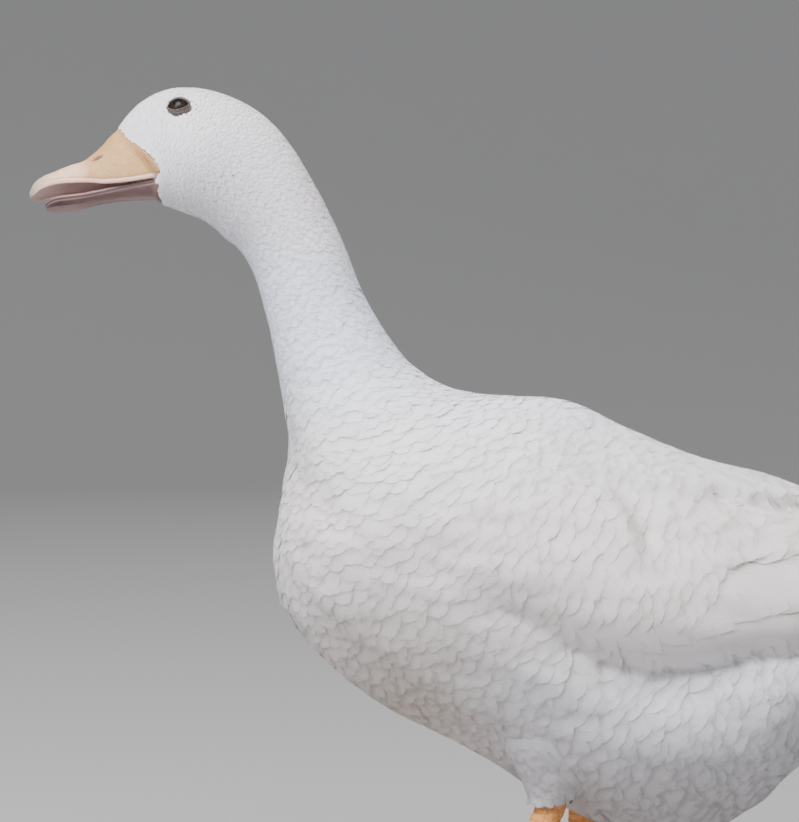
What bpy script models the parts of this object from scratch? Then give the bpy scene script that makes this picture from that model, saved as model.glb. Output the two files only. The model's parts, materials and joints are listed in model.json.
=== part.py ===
"""A white domestic duck at life size, standing with its neck stretched up and its head tipped.

Metres, +Z up. The bill points to -X, +Y is the duck's right side, and the floor is Z = 0 under the feet.
The feathered body is one loft along the spine, from the tail tip to the edge of the bill, parted by thin
gaps into tail, trunk, neck and head. Wings are shells laid over the same loft. Bill, eyes and legs are
solids of their own that meet it.
"""

import math
from dataclasses import dataclass

import bpy
from mathutils import Matrix, Vector

MM = 0.001
SEAM = 0.0005  # between two lengths of the loft, along the spine
FIT = 0.0003  # between a solid and the one that it is cut to fit
BODY_SIDES = 36  # corners of a ring of the trunk or the tail
NECK_SIDES = 28  # corners of a ring of the neck or the head


@dataclass
class Station:
    """One cross-section of the feathered body, in millimetres.

    dorsal and ventral are its highest and lowest points as (x, z), width its full width, waist the height
    of its widest line as a share of the way up, and roll its turn about the spine in degrees.
    """

    name: str
    dorsal: tuple
    ventral: tuple
    width: float
    waist: float = 0.50
    roll: float = 0.0


STATIONS = (
    Station("tail tip", (272.5, 213), (272, 210), 30),
    Station("tail edge", (260, 211.5), (258, 202.5), 62, 0.62),
    Station("tail fan", (236.5, 209.5), (229, 182), 80, 0.62),
    Station("tail base", (203, 210), (187, 154), 92, 0.60),
    Station("tail root", (171, 215.5), (153, 120), 112, 0.56),
    Station("rump", (153, 222.5), (122, 90), 132, 0.54),
    Station("vent", (138, 230), (92, 63), 150, 0.53),
    Station("belly", (117, 240.5), (52, 52), 166, 0.53),
    Station("thigh", (93.5, 248.5), (8, 70), 177, 0.54),
    Station("flank", (73, 255), (-38, 98), 183, 0.55),
    Station("back", (52, 262.5), (-78, 118), 184, 0.56),
    Station("wrist", (32, 270.5), (-112, 139.5), 179, 0.56),
    Station("shoulder", (14, 280.5), (-137, 164.5), 168, 0.54),
    Station("mantle", (-5, 285.5), (-145.5, 191), 152, 0.52),
    Station("breast", (-26, 286), (-145, 216.5), 132, 0.50),
    Station("chest", (-44, 287), (-139.5, 241), 111, 0.48),
    Station("crop", (-61, 292), (-138.5, 260.5), 90, 0.48),
    Station("neck root", (-76, 302.5), (-141.5, 280), 72, 0.50),
    Station("neck base", (-89, 320), (-144.5, 299), 59, 0.50),
    Station("low neck", (-100, 339), (-148, 318), 51, 0.50),
    Station("mid neck", (-109, 362.5), (-153, 337.5), 47, 0.50),
    Station("high neck", (-118, 382), (-157.5, 350.5), 44, 0.50, 1),
    Station("throat", (-128, 400.5), (-164, 361), 43, 0.50, 3),
    Station("nape", (-141, 421), (-171, 366), 43, 0.48, 6),
    Station("occiput", (-156.5, 435), (-178, 372.5), 44, 0.46, 10),
    Station("jowl", (-172, 442.5), (-185.5, 377), 45, 0.44, 13),
    Station("cheek", (-187, 445.8), (-193, 379.5), 44, 0.43, 14),
    Station("crown", (-203, 444.8), (-198, 381.5), 39, 0.42, 14),
    Station("brow", (-215, 438.8), (-203, 383.5), 33, 0.40, 14),
    Station("lores", (-223, 431), (-207, 384.5), 29, 0.38, 14),
    Station("bill edge", (-230, 421), (-212, 385.5), 26, 0.36, 14),
)
CENTRES = [(Vector(s.dorsal) + Vector(s.ventral)) / 2 for s in STATIONS]


def running_lengths(points):
    """How far along a chain of points each one lies."""
    found = [0.0]
    for before, after in zip(points, points[1:]):
        found.append(found[-1] + (after - before).length)
    return found


SPINE_MM = running_lengths(CENTRES)
AT = {s.name: at for s, at in zip(STATIONS, SPINE_MM)}


def smooth(knots, values, at):
    """A smooth curve through the values, which lie at the knots, read at one place."""
    last = len(knots) - 1
    at = min(max(at, knots[0]), knots[last])
    i = min(max(sum(1 for k in knots if k <= at) - 1, 0), last - 1)

    def slope(n):
        before, after = max(n - 1, 0), min(n + 1, last)
        return (values[after] - values[before]) / (knots[after] - knots[before])

    step = knots[i + 1] - knots[i]
    share = (at - knots[i]) / step
    square, cube = share * share, share**3
    return (
        values[i] * (2 * cube - 3 * square + 1)
        + slope(i) * step * (cube - 2 * square + share)
        + values[i + 1] * (3 * square - 2 * cube)
        + slope(i + 1) * step * (cube - square)
    )


def section_at(at):
    """Centre, lateral axis, upward axis, half-width, half-height and waist of the body's section there."""

    def read(channel):
        return smooth(SPINE_MM, [channel(s) for s in STATIONS], at)

    dorsal = Vector((read(lambda s: s.dorsal[0]), 0, read(lambda s: s.dorsal[1]))) * MM
    ventral = Vector((read(lambda s: s.ventral[0]), 0, read(lambda s: s.ventral[1]))) * MM
    up = (dorsal - ventral).normalized()
    roll = math.radians(read(lambda s: s.roll))
    right = Vector((0, 1, 0))
    lateral = right * math.cos(roll) - up * math.sin(roll)
    upward = up * math.cos(roll) + right * math.sin(roll)
    height = (dorsal - ventral).length
    return (
        (dorsal + ventral) / 2,
        lateral,
        upward,
        read(lambda s: s.width) * MM / 2,
        height / 2,
        read(lambda s: s.waist),
    )


def body_point(at, angle, lift=0.0):
    """A point of the body's surface, lifted off it in the plane of its section.

    angle is in degrees: 0 on the duck's right, 90 along the back, 180 on its left and 270 along the belly.
    """
    centre, lateral, upward, half_width, half_height, waist = section_at(at)
    turn = math.radians(angle)
    across, along = math.cos(turn), math.sin(turn)
    waist_level = (2 * waist - 1) * half_height
    reach = half_height - waist_level if along > 0 else half_height + waist_level
    out = Vector((across / half_width, along / reach)).normalized()
    return (
        centre
        + lateral * (half_width * across + lift * out.x)
        + upward * (waist_level + reach * along + lift * out.y)
    )


def finish(colour, roughness):
    """The arguments of a material, named after its colour below."""
    return {"colour": colour, "roughness": roughness}


FINISHES = {
    "plumage": finish((0.86, 0.84, 0.81), 0.85),
    "bill_horn": finish((0.80, 0.58, 0.36), 0.45),
    "eye_dark": finish((0.03, 0.02, 0.02), 0.10),
    "leg_skin": finish((0.78, 0.33, 0.12), 0.60),
    "tongue_skin": finish((0.75, 0.42, 0.38), 0.45),
}


def material(name):
    found = bpy.data.materials.get(name)
    if found:
        return found
    made = bpy.data.materials.new(name)
    made.use_nodes = True
    shader = made.node_tree.nodes["Principled BSDF"]
    shader.inputs["Base Color"].default_value = (*FINISHES[name]["colour"], 1)
    shader.inputs["Roughness"].default_value = FINISHES[name]["roughness"]
    return made


def add_object(name, points, faces, finish_name):
    mesh = bpy.data.meshes.new(name)
    mesh.from_pydata([tuple(p) for p in points], [], faces)
    mesh.validate()
    mesh.materials.append(material(finish_name))
    mesh.shade_smooth()
    made = bpy.data.objects.new(name, mesh)
    bpy.context.scene.collection.objects.link(made)
    return made


def skin_of_rings(rings):
    """Points and faces of the closed solid through rings of equal count, with flat ends."""
    count = len(rings[0])
    points = [p for ring in rings for p in ring]
    faces = []
    for r in range(len(rings) - 1):
        for i in range(count):
            j = (i + 1) % count
            faces.append((r * count + i, r * count + j, (r + 1) * count + j, (r + 1) * count + i))
    last = (len(rings) - 1) * count
    faces.append(tuple(reversed(range(count))))
    faces.append(tuple(range(last, last + count)))
    return points, faces


def outward(points, faces):
    """The faces, turned over if they enclose a negative volume."""
    volume = 0.0
    for face in faces:
        for i in range(1, len(face) - 1):
            a, b, c = (points[face[k]] for k in (0, i, i + 1))
            volume += a.dot(b.cross(c))
    return faces if volume > 0 else [tuple(reversed(face)) for face in faces]


def add_loft(name, rings, finish_name):
    points, faces = skin_of_rings(rings)
    return add_object(name, points, outward(points, faces), finish_name)


def spread(first, last, count):
    """count values from first to last, evenly apart."""
    return [first + (last - first) * i / (count - 1) for i in range(count)]


def body_ring(at, sides, lift=0.0):
    return [body_point(at, 360 * i / sides, lift) for i in range(sides)]


def add_body_length(name, start, end, rings, sides):
    """The stretch of the body from one named station to another, less its share of the seams."""
    first = AT[start] if start == "tail tip" else AT[start] + SEAM / MM
    return add_loft(name, [body_ring(at, sides) for at in spread(first, AT[end], rings)], "plumage")


def cut(target, cutter):
    """Takes the cutter's solid out of the target's, and keeps the cutter out of the model."""
    cutter.hide_render = True
    cutter.display_type = "WIRE"
    modifier = target.modifiers.new("cut_" + cutter.name, "BOOLEAN")
    modifier.operation = "DIFFERENCE"
    modifier.solver = "EXACT"
    modifier.object = cutter


TAIL_RINGS, TRUNK_RINGS = 10, 26


def add_clearance():
    """The tail and trunk grown by the fit, to be cut from what lies on them."""
    ats = spread(AT["tail tip"], AT["tail root"], TAIL_RINGS)[:-1] + spread(AT["tail root"], AT["neck root"], TRUNK_RINGS)
    return add_loft("trunk_clearance", [body_ring(at, BODY_SIDES, FIT) for at in ats], "plumage")


def add_body():
    add_body_length("tail", "tail tip", "tail root", TAIL_RINGS, BODY_SIDES)
    add_body_length("trunk", "tail root", "neck root", TRUNK_RINGS, BODY_SIDES)
    add_body_length("neck_lower", "neck root", "mid neck", 7, NECK_SIDES)
    add_body_length("neck_upper", "mid neck", "nape", 7, NECK_SIDES)
    return add_body_length("head", "nape", "bill edge", 12, NECK_SIDES)


# The folded wing, from the shoulder to its tip: share of the way along the back, the angle of its upper edge on
# the duck's left side, and its thickness at the lower edge in millimetres.
WING_START, WING_END = "shoulder", "tail base"
WING = (
    ("shoulder", 0.00, 134, 2.0),
    ("wrist", 0.10, 126, 5.0),
    ("forearm", 0.24, 114, 7.5),
    ("elbow", 0.42, 104, 9.0),
    ("secondaries", 0.60, 98, 8.5),
    ("tertials", 0.76, 94, 7.5),
    ("primaries", 0.90, 97, 6.0),
    ("tip", 1.00, 112, 3.0),
)
# Its lower edge, as (x, z) seen from the side, in millimetres.
WING_LOWER_EDGE = (
    (-95, 236),
    (-72, 215),
    (-55, 199),
    (-36, 184),
    (-12, 169),
    (10, 154),
    (26, 147.5),
    (50, 146),
    (70, 149),
    (92, 154.5),
    (127, 158.5),
    (152, 167),
    (176, 180),
    (205, 197),
)
WING_SINK = 3.0  # how far a wing's inner side lies in the trunk before it is cut to fit, in millimetres
WING_SPLIT = 0.80  # where the primaries leave the rest of the wing
WING_ROWS, OUTER_COLUMNS, INNER_COLUMNS = 15, 11, 4
TIP_RISE = 5.0  # how far the wing's tip stands off the rump, in millimetres
UPPER_EDGE_SHARE = 0.30  # the wing's thickness at its upper edge, as a share of that at its lower edge


def lower_edge_angle(at):
    """The angle on the duck's left at which the body's section there meets the wing's lower edge."""
    knots, heights = zip(*WING_LOWER_EDGE)
    high, low = 95.0, 262.0
    for _ in range(24):
        middle = (high + low) / 2
        point = body_point(at, middle) / MM
        if point.z > smooth(knots, heights, point.x):
            high = middle
        else:
            low = middle
    return (high + low) / 2


def wing_value(share, channel):
    return smooth([w[1] for w in WING], [w[channel] for w in WING], share)


def wing_point(share, across, outer, side):
    """A point of the wing: across runs from -1 at the lower edge to 1 at the upper one."""
    at = AT[WING_START] + (AT[WING_END] - AT[WING_START]) * share
    lower, upper = lower_edge_angle(at), wing_value(share, 2)
    angle = (lower + upper) / 2 + (upper - lower) / 2 * across
    beyond = max(0.0, (share - WING_SPLIT) / (1 - WING_SPLIT))
    lift = TIP_RISE * beyond**1.5
    if outer:
        slope = (1 + UPPER_EDGE_SHARE) / 2 - (1 - UPPER_EDGE_SHARE) / 2 * across
        crown = (1 - abs(across) ** 4) ** 0.5
        lift += 1.0 + wing_value(share, 3) * slope * (0.30 + 0.70 * crown)
    else:
        lift -= WING_SINK * (1 - beyond)
    point = body_point(at, angle, lift * MM)
    return Vector((point.x, -side * point.y, point.z))


def add_wing(name, side, first, last, rows, clearances):
    """A length of one wing, side being 1 on the duck's right and -1 on its left, cut to fit the body under it."""
    rings = []
    for share in spread(first, last, rows):
        outer = [wing_point(share, v, True, side) for v in spread(-1, 1, OUTER_COLUMNS)]
        inner = [wing_point(share, v, False, side) for v in spread(1, -1, INNER_COLUMNS)]
        rings.append(outer + inner)
    wing = add_loft(name, rings, "plumage")
    for clearance in clearances:
        cut(wing, clearance)


def add_wings(clearances):
    gap = SEAM / MM / abs(AT[WING_END] - AT[WING_START])
    for word, side in (("left", -1), ("right", 1)):
        add_wing("wing_" + word, side, 0.004, WING_SPLIT, WING_ROWS, clearances)
        add_wing("primaries_" + word, side, WING_SPLIT + 2 * gap, 0.996, 6, clearances)


# The bill, a little open. Each row of the upper mandible is its ridge and its mouth line as (x, z) and its full
# width, and each row of the lower one its mouth line, its underside and its full width, in millimetres.
UPPER_BILL = (
    ("base", (-228.3, 424.5), (-205.6, 395.0), 28.8),
    ("nostril", (-232.4, 418.6), (-215.8, 393.4), 27.6),
    ("saddle", (-236.6, 413.9), (-225.2, 392.4), 26.2),
    ("neck", (-240.8, 410.0), (-233.0, 392.2), 24.6),
    ("waist", (-244.9, 406.6), (-239.7, 392.6), 25.2),
    ("spoon", (-252.2, 404.0), (-249.1, 392.4), 26.8),
    ("broad", (-259.0, 400.9), (-257.4, 391.6), 26.8),
    ("nail", (-265.2, 398.4), (-264.7, 389.7), 23.6),
    ("rim", (-269.9, 394.7), (-269.4, 387.2), 16.0),
    ("tip", (-272.3, 390.0), (-272.0, 386.8), 6.0),
)
LOWER_BILL = (
    ("base", (-207.2, 394.3), (-206.8, 386.6), 25.0),
    ("fork", (-221.0, 392.1), (-221.0, 386.3), 21.0),
    ("neck", (-231.9, 390.0), (-232.0, 385.0), 20.0),
    ("waist", (-241.3, 388.0), (-241.3, 383.2), 20.4),
    ("spoon", (-248.0, 386.8), (-248.0, 381.2), 21.6),
    ("broad", (-256.4, 385.7), (-256.4, 380.4), 21.6),
    ("rim", (-261.0, 384.9), (-260.8, 380.3), 16.0),
    ("tip", (-263.8, 383.6), (-263.4, 380.9), 8.0),
)
BILL_FEATHER_LINE = (  # the edge of the feathers round the bill's base, seen from the side
    (-229.5, 426.0),
    (-205.3, 395.0),
    (-206.2, 388.0),
    (-202.5, 382.5),
    (-202.0, 370.0),
)
BILL_ROWS = 12
ARCH_CORNERS = 13


def bill_rings(rows, sign):
    """Rings of one mandible: an arch over its flat mouth line, or a keel under it where sign is -1."""
    mouth_column, far_column = (2, 1) if sign > 0 else (1, 2)
    knots = running_lengths([Vector(row[mouth_column]) for row in rows])
    rings = []
    for at in spread(0, knots[-1], BILL_ROWS):

        def read(column, part):
            return smooth(knots, [row[column][part] for row in rows], at) * MM

        mouth = Vector((read(mouth_column, 0), 0, read(mouth_column, 1)))
        rise = Vector((read(far_column, 0), 0, read(far_column, 1))) - mouth
        half = smooth(knots, [row[3] for row in rows], at) * MM / 2
        share = at / knots[-1]
        ring = []
        for i in range(ARCH_CORNERS):
            turn = math.pi * i / (ARCH_CORNERS - 1)
            along = math.sin(turn) ** (1.0 - 0.25 * share)
            ring.append(mouth + rise * along + Vector((0, sign * half * math.cos(turn), 0)))
        rings.append(ring)
    return rings


def head_turn():
    """The head's roll at the bill, as a turn about the bill's own length."""
    pivot = section_at(AT["bill edge"])[0]
    length = Vector(UPPER_BILL[-1][2]) - Vector(UPPER_BILL[0][2])
    axis = Vector((length.x, 0, length.y)).normalized()
    turn = Matrix.Rotation(math.radians(STATIONS[-1].roll), 4, axis)
    return Matrix.Translation(pivot) @ turn @ Matrix.Translation(-pivot)


def add_bill(head):
    turn = head_turn()
    shift = Vector((-FIT - 0.0001, 0, 0))
    for name, rows, sign in (("bill_upper", UPPER_BILL, 1), ("bill_lower", LOWER_BILL, -1)):
        rings = [[turn @ (p + shift) for p in ring] for ring in bill_rings(rows, sign)]
        add_loft(name, rings, "bill_horn")
    outline = (*BILL_FEATHER_LINE, (-300, 370), (-300, 426))
    seat = [
        [turn @ (Vector((x, y, z)) * MM) for x, z in outline] for y in (-40, 40)
    ]
    cut(head, add_loft("bill_seat", seat, "plumage"))


TONGUE = (  # middle of its upper side as (x, z), full width and thickness
    ((-234.0, 391.0), 7.0, 0.8),
    ((-241.0, 390.4), 9.0, 1.6),
    ((-249.0, 389.4), 9.5, 2.0),
    ((-255.0, 388.6), 8.5, 2.0),
    ((-258.6, 388.0), 5.0, 1.4),
)


def add_tongue():
    turn = head_turn()
    rings = []
    for (x, z), width, thick in TONGUE:
        ring = []
        for a in spread(0, 2 * math.pi, 15)[:-1]:
            ring.append(
                turn @ (Vector((x, width / 2 * math.cos(a), z + thick / 2 * (math.sin(a) - 1))) * MM)
            )
        rings.append(ring)
    add_loft("tongue", rings, "tongue_skin")


EYE_RADIUS = 6.4
EYE_AT = AT["crown"] * 0.45 + AT["cheek"] * 0.55
EYE_ANGLE = 40  # above the widest line of the head's section
EYE_DEPTH = 4.5  # of its centre under the feathers
EYE_RINGS, EYE_SIDES = 7, 14


def ball_rings(centre, axis, radius):
    """Rings of a ball whose poles lie on an axis."""
    side = axis.orthogonal().normalized()
    other = axis.cross(side)
    rings = []
    for i in range(EYE_RINGS):
        polar = math.pi * (0.04 + 0.92 * i / (EYE_RINGS - 1))
        rings.append(
            [
                centre
                + axis * radius * math.cos(polar)
                + (side * math.cos(a) + other * math.sin(a)) * radius * math.sin(polar)
                for a in spread(0, 2 * math.pi, EYE_SIDES + 1)[:-1]
            ]
        )
    return rings


def add_eyes(head):
    for word, angle in (("left", 180 - EYE_ANGLE), ("right", EYE_ANGLE)):
        centre = body_point(EYE_AT, angle, -EYE_DEPTH * MM)
        axis = (body_point(EYE_AT, angle) - centre).normalized()
        add_loft("eye_" + word, ball_rings(centre, axis, EYE_RADIUS * MM), "eye_dark")
        socket = ball_rings(centre, axis, EYE_RADIUS * MM + FIT)
        cut(head, add_loft("socket_" + word, socket, "plumage"))


@dataclass
class Leg:
    """One leg in millimetres: x and z of the hock, x of the ankle, and from the hock to the middle of the thigh."""

    word: str
    side: int
    hock: tuple
    ankle_x: float
    thigh_reach: tuple
    hock_y: float = 44
    ankle_y: float = 46


LEGS = (
    Leg("left", -1, (-9, 70), -9, (24, -6, 50)),
    Leg("right", 1, (13, 61), 46, (8, -6, 58)),
)
ANKLE_Z = 9
CUFF_RADIUS = (14.0, 11.5)  # of the feathers over the hock, fore-and-aft and across
CUFF_BACK = 5.0  # how far behind the hock the middle of the cuff is
THIGH_RADIUS = (40, 25)
SHANK = (  # share of the way up from ankle to hock, half-depth and half-width
    (0.00, 6.6, 5.2),
    (0.12, 5.2, 4.2),
    (0.50, 4.6, 3.7),
    (0.78, 6.0, 4.9),
    (0.93, 9.0, 7.2),
    (1.00, 8.6, 7.0),
)


def oval(centre, radii, sides=20):
    """A level ring, longer fore-and-aft than across."""
    return [
        centre + Vector((radii[0] * math.cos(a), radii[1] * math.sin(a), 0)) * MM
        for a in spread(0, 2 * math.pi, sides + 1)[:-1]
    ]


def add_thigh(leg, clearance):
    """The feathered thigh, from the cuff over the hock up into the flank, cut to fit the trunk."""
    cuff = Vector((leg.hock[0] + CUFF_BACK, leg.side * leg.hock_y, leg.hock[1])) * MM
    reach = Vector((leg.thigh_reach[0], leg.side * leg.thigh_reach[1], leg.thigh_reach[2])) * MM
    rings = []
    for share in spread(0, 1, 7):
        swell = share**1.5
        radii = [c + (t - c) * swell for c, t in zip(CUFF_RADIUS, THIGH_RADIUS)]
        rings.append(oval(cuff + reach * share, radii, 24))
    thigh = add_loft("thigh_" + leg.word, rings, "plumage")
    cut(thigh, clearance)


def add_shank(leg):
    ankle = Vector((leg.ankle_x, leg.side * leg.ankle_y, ANKLE_Z)) * MM
    hock = Vector((leg.hock[0], leg.side * leg.hock_y, leg.hock[1])) * MM - Vector((0, 0, FIT))
    knots = [row[0] for row in SHANK]
    rings = []
    for share in spread(0, 1, 9):
        radii = [smooth(knots, [row[c] for row in SHANK], share) for c in (1, 2)]
        rings.append(oval(ankle.lerp(hock, share), radii, 14))
    add_loft("shank_" + leg.word, rings, "leg_skin")


# The webbed foot: each front toe's heading in degrees away from straight ahead, positive away from the
# other foot, and its length in millimetres.
TOES = ((-27, 54), (2, 68), (31, 62))
TOE_HALF_ANGLE = 5.0
WEB_SHARE = 0.86  # of the toes' length that the web reaches between them
WEB_THICK, TOE_THICK = 2.0, 7.0
HEEL_RADIUS = 8.0
HEEL_FAN = 250  # degrees that the lines of the foot start round at the heel
FOOT_STEPS = (0.0, 0.13, 0.26, 0.45, 0.64, 0.82, 0.94, 1.0)


def foot_lines():
    """The lines that fan out over the foot, each a heading, a reach and whether it is the ridge of a toe."""
    lines = []
    for n, (heading, length) in enumerate(TOES):
        lines.append((heading - TOE_HALF_ANGLE, 0.92 * length, False))
        lines.append((heading, length, True))
        lines.append((heading + TOE_HALF_ANGLE, 0.92 * length, False))
        if n + 1 < len(TOES):
            further, reach = TOES[n + 1]
            lines.append(((heading + further) / 2, WEB_SHARE * (length + reach) / 2, False))
    return lines


def foot_height(share, from_ankle, ridge):
    """Height of the foot's upper side, by the share of the way out along a line and the distance out."""
    height = WEB_THICK
    if ridge:
        height = TOE_THICK * (1 - 0.45 * share) * (1 + 0.07 * math.cos(7 * math.pi * share))
    close = min(1.0, max(0.0, 1.45 - from_ankle / HEEL_RADIUS))
    return max(height, WEB_THICK + (ANKLE_Z - FIT / MM - WEB_THICK) * close)


def add_foot(leg):
    """The foot as a fan of lines from the heel, flat on the floor."""
    lines = foot_lines()
    rings = []
    for n, (heading, reach, ridge) in enumerate(lines):
        turn = math.radians(heading)
        start = math.radians(HEEL_FAN) * (n / (len(lines) - 1) - 0.5)
        upper = []
        for share in FOOT_STEPS:
            forward = HEEL_RADIUS * 0.9 * math.cos(start) * (1 - share) + reach * math.cos(turn) * share
            outward_by = HEEL_RADIUS * 0.8 * math.sin(start) * (1 - share) + reach * math.sin(turn) * share
            height = foot_height(share, math.hypot(forward, outward_by), ridge)
            if share == 1:
                height *= 0.6
            upper.append(Vector((leg.ankle_x - forward, leg.side * (leg.ankle_y + outward_by), height)) * MM)
        rings.append(upper + [Vector((p.x, p.y, 0)) for p in reversed(upper)])
    add_loft("foot_" + leg.word, rings, "leg_skin")


def add_hind_toe(leg):
    """The small hind toe, high on the back of the ankle, its claw just off the floor."""
    root = Vector((leg.ankle_x + 7.0, leg.side * leg.ankle_y, ANKLE_Z + 3.0))
    tip = Vector((leg.ankle_x + 21.0, leg.side * (leg.ankle_y - 3.5), 1.9))
    rings = []
    for share, radius in ((0, 2.4), (0.25, 2.9), (0.6, 2.3), (0.85, 1.4), (1, 0.6)):
        centre = root.lerp(tip, share)
        rings.append(
            [
                (centre + Vector((0, math.cos(a), math.sin(a))) * radius) * MM
                for a in spread(0, 2 * math.pi, 11)[:-1]
            ]
        )
    add_loft("hind_toe_" + leg.word, rings, "leg_skin")


def add_legs(clearance):
    for leg in LEGS:
        add_thigh(leg, clearance)
        add_shank(leg)
        add_foot(leg)
        add_hind_toe(leg)


def main():
    for old in list(bpy.data.objects):
        bpy.data.objects.remove(old)
    head = add_body()
    clearance = add_clearance()
    add_wings([clearance])
    add_bill(head)
    add_tongue()
    add_eyes(head)
    add_legs(clearance)


main()
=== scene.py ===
# %% [markdown]
# # A white farm duck, at life size
#
# The duck stands on a pale floor with its neck stretched up, its head tipped a little and its bill just
# open. The solid model gives every outer measure. This file dresses it: one skin, over twelve thousand
# feathers, a bill with its nail, nostrils and combs, two eyes with lids, and two webbed feet.
#
# Everything is in metres, +Z is up, the bill points to -X and the duck's left side faces -Y.

# %% Open the solid model
import json
import math
import warnings
from itertools import product

import bmesh
import bpy
import numpy as np
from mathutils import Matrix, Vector
from mathutils.bvhtree import BVHTree

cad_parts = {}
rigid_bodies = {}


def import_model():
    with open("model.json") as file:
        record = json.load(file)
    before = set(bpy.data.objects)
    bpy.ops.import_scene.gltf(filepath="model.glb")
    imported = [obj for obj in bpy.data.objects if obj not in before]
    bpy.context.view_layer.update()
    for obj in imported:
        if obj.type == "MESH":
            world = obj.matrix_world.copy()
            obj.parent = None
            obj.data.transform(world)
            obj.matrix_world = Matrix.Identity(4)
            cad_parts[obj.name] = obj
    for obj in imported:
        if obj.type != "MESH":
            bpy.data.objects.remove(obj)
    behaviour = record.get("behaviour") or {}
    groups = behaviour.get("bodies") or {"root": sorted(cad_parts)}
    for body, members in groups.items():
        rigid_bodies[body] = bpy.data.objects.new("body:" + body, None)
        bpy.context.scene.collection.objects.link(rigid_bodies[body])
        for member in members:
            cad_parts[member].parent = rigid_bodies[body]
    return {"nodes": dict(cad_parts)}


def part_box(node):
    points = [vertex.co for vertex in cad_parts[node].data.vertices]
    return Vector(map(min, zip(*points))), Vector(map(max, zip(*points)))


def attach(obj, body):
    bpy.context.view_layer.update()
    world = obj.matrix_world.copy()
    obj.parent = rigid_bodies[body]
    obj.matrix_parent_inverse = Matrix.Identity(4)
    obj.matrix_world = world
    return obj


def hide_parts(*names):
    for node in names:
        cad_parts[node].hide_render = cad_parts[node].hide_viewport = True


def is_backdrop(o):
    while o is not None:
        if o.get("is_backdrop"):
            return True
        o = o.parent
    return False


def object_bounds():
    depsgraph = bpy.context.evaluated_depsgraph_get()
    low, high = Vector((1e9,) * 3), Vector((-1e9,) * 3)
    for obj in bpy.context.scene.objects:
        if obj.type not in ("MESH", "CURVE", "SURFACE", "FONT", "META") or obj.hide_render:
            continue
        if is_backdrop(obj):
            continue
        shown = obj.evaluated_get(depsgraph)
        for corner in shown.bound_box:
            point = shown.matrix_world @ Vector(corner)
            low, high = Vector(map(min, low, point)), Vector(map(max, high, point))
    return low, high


for old in list(bpy.data.objects):
    bpy.data.objects.remove(old)
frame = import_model()
cad_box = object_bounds()
nodes = frame["nodes"]
MM = 0.001
print("solid model:", [round((h - l) / MM, 1) for l, h in zip(*cad_box)], "mm,", len(nodes), "nodes")


# %% [markdown]
# ## Where the camera stands
#
# The camera looks square at the duck's left side from a little above its back. The frame takes in the head,
# the neck and the body as far as the thigh, and leaves the tail and the feet outside, as somebody would who
# had come close to a live bird. A wide lens up close would swell the near wing, so a long one stands two
# metres away.

# %% Camera
def add_object(name, data):
    made = bpy.data.objects.new(name, data)
    bpy.context.scene.collection.objects.link(made)
    return made


AIM = Vector((-0.0809, 0.0, 0.2772))
CAMERA_DISTANCE = 2.2
CAMERA_ELEVATION = math.radians(3)
VIEW_WIDTH = 0.4155  # that the frame spans at the aim
SENSOR = 36.0

camera_data = bpy.data.cameras.new("camera")
camera_data.sensor_fit = "HORIZONTAL"
camera_data.sensor_width = SENSOR
camera_data.lens = SENSOR * CAMERA_DISTANCE / VIEW_WIDTH
camera_data.clip_start, camera_data.clip_end = 0.05, 60
camera = add_object("camera", camera_data)
back_to_camera = Vector((0, -math.cos(CAMERA_ELEVATION), math.sin(CAMERA_ELEVATION)))
camera.location = AIM + back_to_camera * CAMERA_DISTANCE
camera.rotation_euler = back_to_camera.to_track_quat("Z", "Y").to_euler()
bpy.context.scene.camera = camera
print("lens:", round(camera_data.lens, 1), "mm at", [round(v, 3) for v in camera.location])


# %% [markdown]
# ## Floor and light
#
# White feathers show their form only by soft shade, so the light is one very large lamp high on the camera's
# side, a cooler and weaker one from the bill's side, a faint one behind and a dim even sky. The floor is a
# pale disc whose rim rises far behind the duck, so that it has no horizon line from any side.

# %% Floor
def shader_of(material):
    return material.node_tree.nodes["Principled BSDF"]


def tube_faces(rows, columns, closed=True):
    """Faces of a grid whose columns close on themselves, or don't."""
    r, c = np.meshgrid(np.arange(rows - 1), np.arange(columns if closed else columns - 1), indexing="ij")
    nxt = (c + 1) % columns
    quads = np.stack([r * columns + c, (r + 1) * columns + c, (r + 1) * columns + nxt, r * columns + nxt], -1)
    return quads.reshape(-1, 4)


FLOOR_FLAT, FLOOR_RIM, FLOOR_HEIGHT = 3.4, 5.8, 3.5  # radius that is flat, radius and height of the rim
FLOOR_SIDES = 96
PALE_PAPER = (0.36, 0.355, 0.35)
floor_rings = [(FLOOR_FLAT * k / 4, 0.0) for k in range(1, 5)]
for t in np.linspace(0.1, math.pi / 2, 12):
    radius = FLOOR_FLAT + (FLOOR_RIM - FLOOR_FLAT) * math.sin(t)
    floor_rings.append((radius, FLOOR_HEIGHT * (1 - math.cos(t))))
floor_points = [(0, 0, 0)]
for radius, height in floor_rings:
    for k in range(FLOOR_SIDES):
        turn = math.tau * k / FLOOR_SIDES
        floor_points.append((radius * math.cos(turn), radius * math.sin(turn), height))
floor_faces = [(0, 1 + k, 1 + (k + 1) % FLOOR_SIDES) for k in range(FLOOR_SIDES)]
floor_faces += (tube_faces(len(floor_rings), FLOOR_SIDES) + 1).tolist()
floor_paper = bpy.data.materials.new("floor_paper")
floor_paper.use_nodes = True
shader_of(floor_paper).inputs["Base Color"].default_value = (*PALE_PAPER, 1)
shader_of(floor_paper).inputs["Roughness"].default_value = 0.9
floor_mesh = bpy.data.meshes.new("floor")
floor_mesh.from_pydata(floor_points, [], floor_faces)
floor_mesh.shade_smooth()
floor_mesh.materials.append(floor_paper)
floor = add_object("floor", floor_mesh)
floor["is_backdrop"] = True
print("floor:", len(floor_mesh.vertices), "points")


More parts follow.
